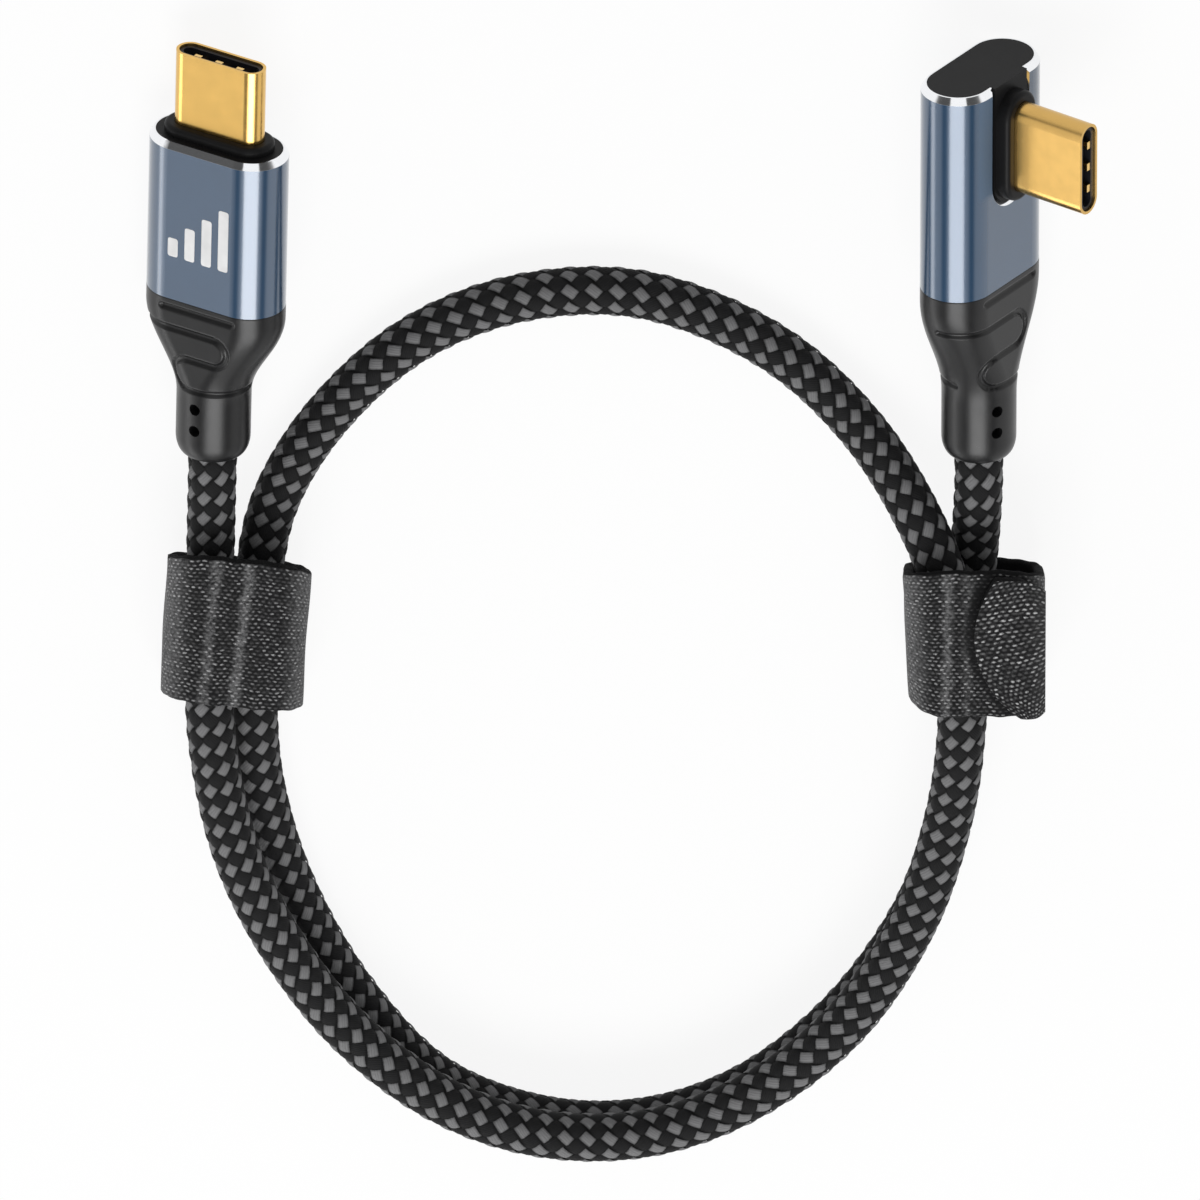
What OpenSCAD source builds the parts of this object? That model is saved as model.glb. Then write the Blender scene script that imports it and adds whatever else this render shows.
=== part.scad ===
// Braided charging cable with a straight and a right-angle plug of the flat, reversible kind.
// It lies coiled in one and a half turns, held by two hook-and-loop straps.
// Each plug is drawn in its own frame: X across its broad side, Y along its axis with 0 where
// the cord leaves the boot, and Z out of its upper broad side. place_plug() then lays it down.

/* [Plug body] */
// Width of the sleeves across their broad side
body_w = 12.4; // [12:0.1:14]
// Thickness of the sleeves
body_t = 6.2; // [6.1:0.1:7]
// Wall of the aluminium sleeves
sleeve_wall = 0.5; // [0.45:0.05:0.55]
// Height of the polished chamfer at a sleeve's open end
rim_chamfer = 0.55; // [0.3:0.05:0.8]
// Width of that chamfer, measured across the wall
rim_inset = 0.35; // [0.2:0.05:0.4]
// Length of the straight plug's sleeve
straight_sleeve_len = 14.4; // [14:0.1:20]
// Length of the right-angle plug's sleeve
angled_sleeve_len = 18.9; // [18.6:0.1:24]

/* [Plug shell] */
// Width of the metal shell that enters a socket
shell_w = 8.25; // [8.2:0.05:8.3]
// Thickness of the metal shell
shell_t = 2.4; // [2.35:0.05:2.45]
// Wall of the metal shell
shell_wall = 0.25; // [0.2:0.01:0.3]
// Length of the shell that stands clear of the collar
shell_reach = 6.65; // [6.4:0.05:7]
// Length of the shell that is held inside the collar and the body
shell_hold = 4.7; // [4:0.1:5]
// Height of the opening in the contact block for the socket's tongue
mouth_t = 1.1; // [0.9:0.05:1.2]
// Depth of that opening
mouth_depth = 5.6; // [5:0.1:6]
// Contacts in each of the two rows
contact_count = 12; // [8:1:12]
// Ground tabs on each long side of the mouth
tab_count = 3; // [2:1:4]
// Distance between neighbouring ground tabs
tab_pitch = 2; // [1:0.05:2.2]
// Width of a ground tab
tab_w = 0.65; // [0.4:0.05:0.8]

/* [Collar] */
// Height of the straight plug's collar above the nose
straight_collar_h = 0.8; // [0.6:0.05:1.5]
// Height of the right-angle plug's collar above its sleeve
angled_collar_h = 1.2; // [0.8:0.05:1.5]
// Wall of both collars beside the shell
collar_wall = 0.85; // [0.6:0.05:0.95]
// Rounding of the collar's outer edge
collar_round = 0.4; // [0.2:0.05:0.5]
// Depth of the straight plug's nose inside its sleeve
nose_depth = 2.9; // [2.2:0.1:3.2]
// Thickness of the right-angle plug's end cap
cap_t = 1.6; // [1.2:0.1:1.7]
// Width of the slot in the right-angle plug's sleeve
slot_w = 4.5; // [4.4:0.1:5.2]
// Depth of that slot below the sleeve's open end
slot_depth = 11.3; // [11:0.1:12.5]
// Chamfer along the slot's edge
slot_chamfer = 0.35; // [0.15:0.05:0.4]
// Distance from the right-angle plug's end to the middle of its shell
shell_drop = 5.95; // [5.9:0.05:6.1]

/* [Boot] */
// Length of the straight plug's boot
straight_boot_len = 14.7; // [14:0.1:18]
// Length of the right-angle plug's boot
angled_boot_len = 16.8; // [16:0.1:20]
// Diameter of the boot's round neck
neck_d = 6.2; // [5.8:0.1:6.6]
// Diameter of the boot where the cord comes out
boot_exit_d = 4.7; // [4.6:0.1:5.2]
// Length of the rounding at that end
boot_round = 1.6; // [1:0.1:2.4]
// Where the neck ends and the boot begins to widen
neck_end = 5.6; // [5:0.1:6]
// Length below the sleeve over which the boot keeps its full section
boot_full = 1.2; // [0.8:0.1:1.6]
// Diameter of the two holes in the neck
vent_d = 0.95; // [0.6:0.05:1.2]
// Distance of the first hole from the boot's end
vent_y = 3; // [2.4:0.1:3.4]
// Distance between the two holes
vent_pitch = 2; // [1.4:0.1:2.2]
// Width of the grooves in the boot
groove_w = 0.5; // [0.3:0.05:0.6]
// Depth of the grooves in the boot
groove_depth = 0.25; // [0.15:0.05:0.3]
// Depth of the boot's spigot inside the sleeve
spigot_len = 1.5; // [1:0.1:2]

/* [Cord] */
// Diameter of the braided cord
cord_d = 4; // [3.6:0.1:4]
// Diameter of a signal wire
wire_d = 0.7; // [0.5:0.05:0.75]
// Wall of the crimp ring on the cable end
crimp_wall = 0.3; // [0.2:0.05:0.35]

/* [Straps] */
// Length of a strap along the cord
strap_len = 13.6; // [12:0.1:16]
// Thickness of the strap's fabric
strap_t = 1.1; // [0.9:0.05:1.2]
// Outer radius of the strap's bends
strap_bend = 3; // [2:0.1:3.4]
// How far a strap's underside is set back along the cord
strap_skew = 4.5; // [0:0.1:6]
// Thickness of a strap's free tab
tab_t = 0.9; // [0.6:0.05:1]
// Width of the right strap across the cord
right_strap_w = 11.9; // [11.8:0.1:14]
// Height of the right strap, without its tab
right_strap_h = 11.3; // [11.2:0.1:13]
// Width of the left strap across the cord
left_strap_w = 12.1; // [12:0.1:14]
// Height of the left strap
left_strap_h = 9.7; // [9.6:0.1:11]
// Length of the right tab, from its fold to the tip of its round end
right_tab_len = 6.4; // [5:0.1:7.5]
// Length of the left tab
left_tab_len = 4.4; // [4:0.1:4.5]

/* [Clearances] */
// Between moulded or pressed pieces that don't move
fit_gap = 0.03; // [0.02:0.01:0.05]
// Between a strap and its free tab
tab_gap = 0.3; // [0.25:0.05:0.4]

/* [Hidden] */
$fn = 48;
eps = 0.01;

// Sections of the body
half_flat = (body_w - body_t) / 2;
inner_w = body_w - 2 * sleeve_wall;
inner_t = body_t - 2 * sleeve_wall;
plug_w = inner_w - 2 * fit_gap;
plug_t = inner_t - 2 * fit_gap;

// Where each plug lies: the point where its cord comes out, its roll about its own axis and
// its turn about Z. Each rests on the floor with its lower round side.
straight_roll = -31;
angled_roll = 54;
straight_yaw = -1.3;
straight_at = [-33.85, -5.5, lie_height(straight_roll)];
angled_at = [29.25, -5.1, lie_height(angled_roll)];

// Stations along each plug
straight_top = straight_boot_len + straight_sleeve_len;
angled_top = angled_boot_len + angled_sleeve_len;
nose_y = straight_top - nose_depth;
cap_y = angled_top - cap_t;
shell_y = angled_top - shell_drop;
slot_round_y = angled_top - slot_depth + slot_w / 2;
crimp_len = 1.8;
crimp_lift = 0.1;
crimp_r = cord_d / 2 + crimp_wall;
cable_end_lift = 0.2;
wire_len = 2.4;
wire_on_board = 1.2;

// Contact block
block_w = shell_w - 2 * shell_wall - 2 * fit_gap;
block_t = shell_t - 2 * shell_wall - 2 * fit_gap;
block_len = shell_reach + shell_hold;
block_recess = 0.2;
block_tail = 0.35;
mouth_margin = 0.3;
mouth_w = block_w - 2 * mouth_margin;
latch_t = 0.4;
latch_arm = 0.25;
latch_depth = 7;
contact_w = 0.25;
contact_t = 0.14;
contact_margin = 0.12;
contact_pitch = (mouth_w - mouth_t - contact_w - 2 * contact_margin) / (contact_count - 1);
contact_start = 1.8;
tab_recess = 0.25;
far_tab_recess = 0.85;
tab_foot = 1.5;
tab_rise = 0.42;
tab_sheet = 0.14;

// Board
board_t = 0.8;
board_w = 7.2;
wire_room = board_t + 4 * wire_d;
chip_size = 2.3;
chip_t = 0.7;
chip_setback = 1.4;
can_t = 0.15;
can_w = 8.6;
can_h = 3;
can_len = 5.4;
angled_board_low = 1.9;
angled_board_back = 1;
insert_depth = 0.8;
insert_z = inner_t / 2 - insert_depth;
angled_board_high = insert_z - 3 * fit_gap;

// Collar of each plug
collar_w = shell_w + 2 * collar_wall;
collar_t = shell_t + 2 * collar_wall;

// Straps
strap_inner_bend = strap_bend - strap_t;
right_strap_at = [28.85, -13.75, 0];
left_strap_at = [-31.55, -13.25, 0];
left_strap_turn = 3;
left_step = tab_t + 2 * tab_gap;
left_step_x = -1.45;
tab_setback = 0.6;
tab_straight = 1;

// Rows of the S-shaped groove along each boot, its turns on the right and the left, and both
// of its ends, measured round the boot from the middle of its broad side
straight_groove_rows = straight_boot_len * [0.816, 0.646, 0.456];
straight_groove_turns = [1.6, -0.9];
straight_groove_ends = [-6.5, 5.5];
angled_groove_rows = angled_boot_len * [0.804, 0.619, 0.44];
angled_groove_turns = [0.6, -1.6];
angled_groove_ends = [-7.6, 5];
top_groove_reach = 3.3;
top_groove_setback = 0.8;

// The cord's route, from the straight plug's boot to the right-angle plug's. It goes down the
// left, along the bottom and up the right on top of its own second turn, comes down to the
// floor beside the right strap, and goes round once more.
cord_route = [
    straight_at,
    [-34.05, -14, 4.85],
    [-34.2, -23, 6.3],
    [-34, -32, 6.6],
    [-32.2, -42, 6.6],
    [-28.5, -51, 6.6],
    [-22.7, -59.6, 6.6],
    [-15, -66.2, 6.6],
    [-6.5, -69.4, 6.6],
    [2.5, -69.2, 6.6],
    [11, -65.5, 6.6],
    [18.6, -58.6, 6.6],
    [24, -49.2, 6.6],
    [26.8, -39.5, 6.9],
    [27.9, -30, 7.7],
    [27.35, -20.9, 7.9],
    [25, -12.9, 6.2],
    [19.75, -4.85, 2.8],
    [12.15, 2.65, 2.1],
    [2, 7.4, 2.1],
    [-8, 7.3, 2.1],
    [-17, 3.5, 2.1],
    [-24.2, -3.6, 2.1],
    [-28.8, -11.8, 2.5],
    [-30.3, -20.5, 3.3],
    [-30.6, -29.5, 3.3],
    [-30, -38.5, 2.7],
    [-27.4, -48.5, 2.1],
    [-22.4, -58.5, 2.1],
    [-15.5, -66.7, 2.1],
    [-6.5, -70.6, 2.1],
    [2.5, -70.6, 2.1],
    [11, -67, 2.1],
    [18.5, -60, 2.1],
    [24.1, -51, 2.1],
    [26.9, -42, 2.1],
    [28, -32.5, 2.9],
    [28.4, -22, 3.4],
    [29, -14.4, 4],
    angled_at - [0, 3.5, 0.2],
    angled_at
];
cord_steps = 2;
cord_sides = 8;
gap_steps = 5;
gap_window = 3 * cord_d;

// ---- Functions -------------------------------------------------------------------------

function lie_height(roll) = half_flat * abs(sin(roll)) + body_t / 2;
function unit(v) = v / norm(v);

// Catmull-Rom point between p[i] and p[i + 1], with the end points carried straight on
function route_knot(p, i) =
    i < 0 ? 2 * p[0] - p[1] :
    i > len(p) - 1 ? 2 * p[len(p) - 1] - p[len(p) - 2] :
    p[i];
function route_point(p, i, t) =
    let (a = route_knot(p, i - 1), b = p[i], c = route_knot(p, i + 1), d = route_knot(p, i + 2))
    0.5 * (2 * b + (c - a) * t + (2 * a - 5 * b + 4 * c - d) * t * t
        + (3 * b - a - 3 * c + d) * t * t * t);
function route(p, steps) = concat(
    [for (i = [0 : len(p) - 2]) for (k = [0 : steps - 1]) route_point(p, i, k / steps)],
    [p[len(p) - 1]]
);
function route_length(c) = len(c) < 2 ? 0 : steps_sum([for (i = [1 : len(c) - 1]) norm(c[i] - c[i - 1])]);
function steps_sum(v, i = 0) = i >= len(v) ? 0 : v[i] + steps_sum(v, i + 1);

// Direction of a path at point i
function heading(c, i) = unit(c[min(i + 1, len(c) - 1)] - c[max(i - 1, 0)]);

// Least distance between the surfaces of two stretches of the cord that aren't neighbours
function least_gap(c, window, d) =
    let (pace = route_length(c) / (len(c) - 1), skip = ceil(window / pace))
    min([for (i = [0 : len(c) - 1 - skip]) min([for (j = [i + skip : len(c) - 1]) norm(c[i] - c[j])])]) - d;

// Half profile of the boot: 0 on the neck, 1 at its full section
function widening(y, boot_len) =
    let (s = (y - neck_end) / (boot_len - boot_full - neck_end))
    s <= 0 ? 0 : s >= 1 ? 1 : (1 - cos(180 * s)) / 2;
function boot_flat(y, boot_len) = half_flat * widening(y, boot_len);
function boot_radius(y, boot_len) =
    y < boot_round
        ? neck_d / 2 - (neck_d - boot_exit_d) / 2 * (1 - sqrt(1 - pow(1 - y / boot_round, 2)))
        : neck_d / 2 + (body_t - neck_d) / 2 * widening(y, boot_len);

// Point on the boot's skin at u, measured round the boot from the middle of its broad side,
// and the direction that points out of the skin there
function skin_angle(u, y, boot_len) =
    let (f = boot_flat(y, boot_len))
    abs(u) <= f ? 0 : sign(u) * (abs(u) - f) / boot_radius(y, boot_len) * 180 / PI;
function skin_out(u, y, boot_len) =
    let (a = skin_angle(u, y, boot_len))
    [sin(a), 0, cos(a)];
function skin(u, y, boot_len) =
    let (f = boot_flat(y, boot_len))
    [max(-f, min(f, u)), y, 0] + boot_radius(y, boot_len) * skin_out(u, y, boot_len);

// Points of an arc in the unrolled skin
function bow(u, y, r, from, to, steps) =
    [for (k = [0 : steps]) let (a = from + (to - from) * k / steps) [u + r * cos(a), y + r * sin(a)]];

// The S-shaped groove in the unrolled skin: a run from the far left, a turn at the right, a
// run back, a turn at the left and a last run round the neck
function s_groove(rows, turns, ends) =
    let (right = turns[0], left = turns[1])
    concat(
        [for (k = [0 : 6]) [ends[0] + (right - ends[0]) * k / 7, rows[0]]],
        bow(right, (rows[0] + rows[1]) / 2, (rows[0] - rows[1]) / 2, 90, -90, 8),
        [for (k = [1 : 2]) [right + (left - right) * k / 3, rows[1]]],
        bow(left, (rows[1] + rows[2]) / 2, (rows[1] - rows[2]) / 2, 90, 270, 8),
        [for (k = [1 : 6]) [left + (ends[1] - left) * k / 6, rows[2]]]
    );

// Rings of a tube round a path, each with its own direction for side 0
function tube_points(c, ups, r, sides) = [
    for (i = [0 : len(c) - 1])
        let (along = heading(c, i), across = unit(cross(along, ups[i])), over = cross(along, across))
        for (k = [0 : sides - 1])
            let (a = 360 * (k + 0.5) / sides)
            c[i] + r * (cos(a) * across + sin(a) * over)
];
function ring_faces(rings, sides) = concat(
    [[for (k = [0 : sides - 1]) k]],
    [for (i = [0 : rings - 2]) for (k = [0 : sides - 1])
        let (a = i * sides + k, b = i * sides + (k + 1) % sides)
        [a, a + sides, b + sides]],
    [for (i = [0 : rings - 2]) for (k = [0 : sides - 1])
        let (a = i * sides + k, b = i * sides + (k + 1) % sides)
        [a, b + sides, b]],
    [[for (k = [sides - 1 : -1 : 0]) (rings - 1) * sides + k]]
);

// ---- Shared shapes ---------------------------------------------------------------------

// Slot-shaped outline, w wide and t high, with half-round ends
module stadium(w, t) {
    square([w - t, t], center = true);
    for (side = [-1, 1]) {
        translate([side * (w - t) / 2, 0]) circle(d = t);
    }
}

// Solid with half-round ends along Y: its children are the profile, with the distance from
// the middle plane along X and the height along Y
module round_ended(flat) {
    for (side = [0, 180]) {
        rotate([0, side, 0])
            translate([flat / 2, 0, 0])
                rotate([-90, 0, 0])
                    rotate([0, 0, -90])
                        rotate_extrude(angle = 180) children();
    }
    translate([-flat / 2, 0, 0])
        rotate([90, 0, 90])
            linear_extrude(flat) {
                rotate(90) mirror([0, 1]) children();
                mirror([0, 1]) rotate(90) mirror([0, 1]) children();
            }
}

// Straight prism along Y with a slot-shaped section
module stadium_bar(w, t, from, to) {
    translate([0, to, 0])
        rotate([90, 0, 0])
            linear_extrude(to - from) stadium(w, t);
}

module place_plug(at, roll, yaw) {
    translate(at) rotate([0, 0, yaw]) rotate([0, roll, 0]) children();
}

module straight_plug() {
    place_plug(straight_at, straight_roll, straight_yaw) children();
}

module angled_plug() {
    place_plug(angled_at, angled_roll, 0) children();
}

// The shell's frame: X across its broad side, Z out of the mouth, 0 at its rear end
module straight_tip() {
    straight_plug()
        translate([0, straight_top + straight_collar_h - shell_hold, 0])
            rotate([-90, 0, 0]) children();
}

module angled_tip() {
    angled_plug()
        translate([0, shell_y, body_t / 2 + angled_collar_h - shell_hold])
            rotate([0, 0, 90]) children();
}

// ---- Plug tip --------------------------------------------------------------------------

module tip_shell() {
    color("goldenrod")
        linear_extrude(block_len)
            difference() {
                stadium(shell_w, shell_t);
                stadium(shell_w - 2 * shell_wall, shell_t - 2 * shell_wall);
            }
}

module tip_housing() {
    color([0.09, 0.1, 0.13])
        difference() {
            translate([0, 0, -block_tail])
                linear_extrude(block_len + block_tail - block_recess) stadium(block_w, block_t);
            translate([0, 0, block_len - block_recess - mouth_depth])
                linear_extrude(mouth_depth + 1) stadium(mouth_w, mouth_t);
            translate([-mouth_w / 2 + latch_arm, -latch_t / 2 - fit_gap, block_len - latch_depth - fit_gap])
                cube([mouth_w - 2 * latch_arm, latch_t + 2 * fit_gap, latch_depth]);
        }
}

module tip_contacts() {
    color("gold")
        for (row = [-1, 1], i = [0 : contact_count - 1]) {
            translate([
                (i - (contact_count - 1) / 2) * contact_pitch,
                row * (mouth_t - contact_t) / 2,
                block_len - mouth_depth + (mouth_depth - contact_start) / 2
            ])
                cube([contact_w, contact_t, mouth_depth - contact_start], center = true);
        }
}

// Side view of one ground tab: a foot on the wall of the mouth and a raised nose at its front
module ground_tab(front, rise) {
    foot = block_len - tab_foot;
    tip = block_len - front;
    rotate([90, 0, -90])
        linear_extrude(tab_w, center = true)
            polygon([
                [0, foot], [0, tip], [rise, tip], [rise, tip - tab_sheet * 3],
                [tab_sheet, foot + tab_sheet * 2], [tab_sheet, foot]
            ]);
}

module tip_springs() {
    color("gold")
        for (i = [0 : tab_count - 1]) {
            across = (i - (tab_count - 1) / 2) * tab_pitch;
            translate([across, -mouth_t / 2, 0]) mirror([0, 1]) ground_tab(tab_recess, tab_rise);
            translate([across, mouth_t / 2, 0]) ground_tab(far_tab_recess, tab_rise / 2);
        }
}

// The latch: a U of sheet steel whose two arms grip the socket's tongue at its sides
module tip_latch() {
    arm_x = mouth_w / 2 - latch_arm - fit_gap;
    color("silver")
        rotate([90, 0, 0])
            linear_extrude(latch_t, center = true)
                difference() {
                    translate([-arm_x, block_len - latch_depth]) square([2 * arm_x, latch_depth - 1]);
                    translate([-arm_x + latch_arm, block_len - latch_depth + latch_arm])
                        square([2 * (arm_x - latch_arm), latch_depth]);
                }
}

// ---- Straight plug ---------------------------------------------------------------------

module straight_shell() {
    straight_tip() tip_shell();
}

module straight_housing() {
    straight_tip() tip_housing();
}

module straight_contacts() {
    straight_tip() tip_contacts();
}

module straight_springs() {
    straight_tip() tip_springs();
}

module straight_latch() {
    straight_tip() tip_latch();
}

straight_board_y = straight_boot_len + spigot_len + cable_end_lift + crimp_len + wire_len - wire_on_board;
straight_tail_y = straight_top + straight_collar_h - shell_hold - block_tail;

module straight_board() {
    color("darkgreen")
        straight_plug()
            translate([-board_w / 2, straight_board_y, -board_t / 2])
                cube([board_w, straight_tail_y - straight_board_y, board_t]);
}

module straight_chip() {
    color([0.12, 0.12, 0.12])
        straight_plug()
            translate([-chip_size / 2, straight_tail_y - chip_setback - chip_size, -board_t / 2 - chip_t])
                cube([chip_size, chip_size, chip_t]);
}

module straight_can() {
    color("silver")
        straight_plug()
            difference() {
                translate([-can_w / 2, straight_tail_y - can_len, -can_h / 2])
                    cube([can_w, can_len, can_h]);
                translate([-can_w / 2 + can_t, straight_tail_y - can_len - eps, -can_h / 2 + can_t])
                    cube([can_w - 2 * can_t, can_len + 2 * eps, can_h - 2 * can_t]);
            }
}

// Filling of the sleeve between the boot and the nose, moulded round the board
module straight_mould() {
    low = straight_boot_len + spigot_len + fit_gap;
    color([0.85, 0.85, 0.82])
        straight_plug()
            difference() {
                stadium_bar(plug_w, plug_t, low, nose_y - fit_gap);
                translate([-can_w / 2 - fit_gap, straight_tail_y - can_len - fit_gap, -can_h / 2 - fit_gap])
                    cube([can_w + 2 * fit_gap, can_len + shell_hold, can_h + 2 * fit_gap]);
                translate([-board_w / 2 - fit_gap, low - fit_gap + crimp_len, -wire_room / 2])
                    cube([board_w + 2 * fit_gap, wire_len + 2, wire_room]);
                crimp_bore(low);
            }
}

// Room for the crimp ring in a mould that starts at y = low
module crimp_bore(low) {
    translate([0, low - 1, 0])
        rotate([-90, 0, 0]) cylinder(r = crimp_r + fit_gap, h = 1 + crimp_lift + crimp_len + 2 * crimp_lift);
}

// Nose: closes the sleeve and holds the shell in a raised collar
module straight_nose() {
    color([0.16, 0.16, 0.16])
        straight_plug()
            difference() {
                union() {
                    stadium_bar(plug_w, plug_t, nose_y, straight_top);
                    round_ended(collar_w - collar_t)
                        collar_profile(straight_top - eps, straight_top + straight_collar_h);
                }
                stadium_bar(
                    shell_w + 2 * fit_gap, shell_t + 2 * fit_gap,
                    nose_y - 1, straight_top + straight_collar_h + 1
                );
            }
}

// Half section of a collar, from low to high, with its outer edge rounded
module collar_profile(low, high) {
    half = collar_t / 2;
    translate([0, low]) square([half - collar_round, high - low]);
    translate([0, low]) square([half, high - low - collar_round]);
    translate([half - collar_round, high - collar_round]) circle(r = collar_round);
}

// Half section of a sleeve with a chamfer at its open end
module sleeve_profile(low, high) {
    half = body_t / 2;
    polygon([
        [half - sleeve_wall, low], [half, low], [half, high - rim_chamfer],
        [half - rim_inset, high], [half - sleeve_wall, high]
    ]);
}

module straight_sleeve() {
    color("slategray")
        straight_plug()
            round_ended(body_w - body_t) sleeve_profile(straight_boot_len, straight_top);
}

module straight_boot() {
    color([0.22, 0.22, 0.22])
        straight_plug()
            boot(
                straight_boot_len, 0,
                straight_groove_rows, straight_groove_turns, straight_groove_ends
            );
}

module straight_crimp() {
    straight_plug() crimp(straight_boot_len);
}

module straight_cable_end() {
    straight_plug() cable_end(straight_boot_len);
}

module straight_wires() {
    straight_plug() wires(straight_boot_len);
}

// ---- Right-angle plug ------------------------------------------------------------------

module angled_shell() {
    angled_tip() tip_shell();
}

module angled_housing() {
    angled_tip() tip_housing();
}

module angled_contacts() {
    angled_tip() tip_contacts();
}

module angled_springs() {
    angled_tip() tip_springs();
}

module angled_latch() {
    angled_tip() tip_latch();
}

angled_vent_turn = -25;
angled_tail_z = body_t / 2 + angled_collar_h - shell_hold - block_tail;
angled_board_y = angled_boot_len + spigot_len + cable_end_lift + crimp_len + wire_len - wire_on_board;
angled_board_top = shell_y - shell_w / 2 - fit_gap;

// Board on edge: a strip below the shell and a strip behind it, in one L
module angled_board() {
    color("darkgreen")
        angled_plug()
            rotate([0, -90, 0])
                linear_extrude(board_t, center = true)
                    polygon([
                        [-angled_board_low, angled_board_y],
                        [angled_board_high, angled_board_y],
                        [angled_board_high, angled_board_top],
                        [angled_tail_z, angled_board_top],
                        [angled_tail_z, shell_y + shell_w / 2 - angled_board_back],
                        [-angled_board_low, shell_y + shell_w / 2 - angled_board_back]
                    ]);
}

module angled_chip() {
    middle_y = (angled_board_y + wire_on_board + angled_board_top) / 2;
    color([0.12, 0.12, 0.12])
        angled_plug()
            translate([board_t / 2, middle_y - chip_size / 2, -chip_size / 2])
                cube([chip_t, chip_size, chip_size]);
}

module angled_mould() {
    low = angled_boot_len + spigot_len + fit_gap;
    slack = shell_t / 2 + fit_gap;
    color([0.85, 0.85, 0.82])
        angled_plug()
            difference() {
                stadium_bar(plug_w, plug_t, low, cap_y - fit_gap);
                translate([-slack, angled_board_top - fit_gap, -angled_board_low - fit_gap])
                    cube([2 * slack, angled_sleeve_len, body_t]);
                translate([-slack, angled_board_y - 1.5, -angled_board_low - fit_gap])
                    cube([2 * slack, angled_sleeve_len, angled_board_low + fit_gap + insert_z]);
                translate([0, 0, insert_z - fit_gap]) slot_cut(slot_w, body_t, 0);
                crimp_bore(low);
            }
}

// The slot's shape: open at the sleeve's end, round at the bottom, from z = 0 to z = height
module slot_cut(w, height, overrun) {
    translate([0, slot_round_y, 0]) cylinder(d = w, h = height);
    translate([-w / 2, slot_round_y, 0])
        cube([w, angled_top - slot_round_y + overrun, height]);
}

// Insert: the end cap, the filling of the slot and the collar round the shell, in one piece
module angled_insert() {
    color([0.16, 0.16, 0.16])
        angled_plug()
            difference() {
                union() {
                    stadium_bar(plug_w, plug_t, cap_y, angled_top);
                    translate([0, 0, insert_z]) slot_cut(slot_w - 2 * fit_gap, body_t / 2 - insert_z, 0);
                    translate([0, shell_y, 0])
                        rotate([90, 0, 90])
                            round_ended(collar_w - collar_t)
                                collar_profile(body_t / 2 - eps, body_t / 2 + angled_collar_h);
                }
                translate([0, shell_y, -body_t])
                    rotate([0, 0, 90])
                        linear_extrude(3 * body_t) stadium(shell_w + 2 * fit_gap, shell_t + 2 * fit_gap);
            }
}

module angled_sleeve() {
    color("slategray")
        angled_plug()
            difference() {
                round_ended(body_w - body_t) sleeve_profile(angled_boot_len, angled_top);
                slot_cut(slot_w, body_t, 1);
                translate([0, slot_round_y, body_t / 2 - slot_chamfer])
                    cylinder(d1 = slot_w, d2 = slot_w + 4 * slot_chamfer, h = 2 * slot_chamfer);
                translate([0, angled_top + 1, body_t / 2 - slot_chamfer])
                    rotate([90, 0, 0])
                        linear_extrude(angled_top + 1 - slot_round_y)
                            polygon([
                                [-slot_w / 2, 0], [slot_w / 2, 0],
                                [slot_w / 2 + 2 * slot_chamfer, 2 * slot_chamfer],
                                [-slot_w / 2 - 2 * slot_chamfer, 2 * slot_chamfer]
                            ]);
            }
}

module angled_boot() {
    color([0.22, 0.22, 0.22])
        angled_plug()
            boot(
                angled_boot_len, angled_vent_turn,
                angled_groove_rows, angled_groove_turns, angled_groove_ends
            );
}

module angled_crimp() {
    angled_plug() crimp(angled_boot_len);
}

module angled_cable_end() {
    angled_plug() cable_end(angled_boot_len);
}

module angled_wires() {
    angled_plug() rotate([0, 90, 0]) wires(angled_boot_len);
}

// ---- Boots and what they hold ----------------------------------------------------------

boot_sides = 36;
taper_rings = 11;

function boot_stations(boot_len) = concat(
    [for (k = [0 : 4]) boot_round * (1 - cos(90 * k / 4))],
    [vent_y, neck_end - 0.3],
    [for (k = [1 : taper_rings]) neck_end + (boot_len - boot_full - neck_end) * k / taper_rings],
    [boot_len]
);
function boot_ring(y, boot_len) = [
    for (k = [0 : boot_sides - 1])
        let (a = 360 * (k + 0.5) / boot_sides)
        [
            sign(sin(a)) * boot_flat(y, boot_len) + boot_radius(y, boot_len) * sin(a),
            y,
            boot_radius(y, boot_len) * cos(a)
        ]
];

// Strain relief: from the sleeve's section down to a round neck, with an S-shaped groove and
// a short straight one on each broad side, and two holes across the neck
module boot(boot_len, vent_turn, rows, turns, ends) {
    stations = boot_stations(boot_len);
    top_groove = [for (k = [-3 : 3]) [k / 3 * top_groove_reach, boot_len - top_groove_setback]];
    difference() {
        union() {
            polyhedron(
                points = [for (y = stations) each boot_ring(y, boot_len)],
                faces = ring_faces(len(stations), boot_sides),
                convexity = 6
            );
            stadium_bar(plug_w, plug_t, boot_len - eps, boot_len + spigot_len);
        }
        translate([0, -1, 0])
            rotate([-90, 0, 0]) cylinder(d = cord_d + 2 * fit_gap, h = boot_len + spigot_len + 2);
        for (k = [0, 1]) {
            translate([0, vent_y + k * vent_pitch, 0])
                rotate([0, vent_turn, 0]) cylinder(d = vent_d, h = 2 * neck_d, center = true);
        }
        for (side = [0, 180]) {
            rotate([0, side, 0]) {
                groove_cut(s_groove(rows, turns, ends), boot_len);
                groove_cut(top_groove, boot_len);
            }
        }
    }
}

// Tube of six sides along a path in the unrolled skin, sunk to the groove's depth
module groove_cut(path, boot_len) {
    r = groove_w / 2;
    lift = r - groove_depth;
    outs = [for (p = path) skin_out(p[0], p[1], boot_len)];
    centres = [for (i = [0 : len(path) - 1]) skin(path[i][0], path[i][1], boot_len) + lift * outs[i]];
    polyhedron(
        points = tube_points(centres, outs, r, 6),
        faces = ring_faces(len(centres), 6),
        convexity = 10
    );
}

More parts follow.
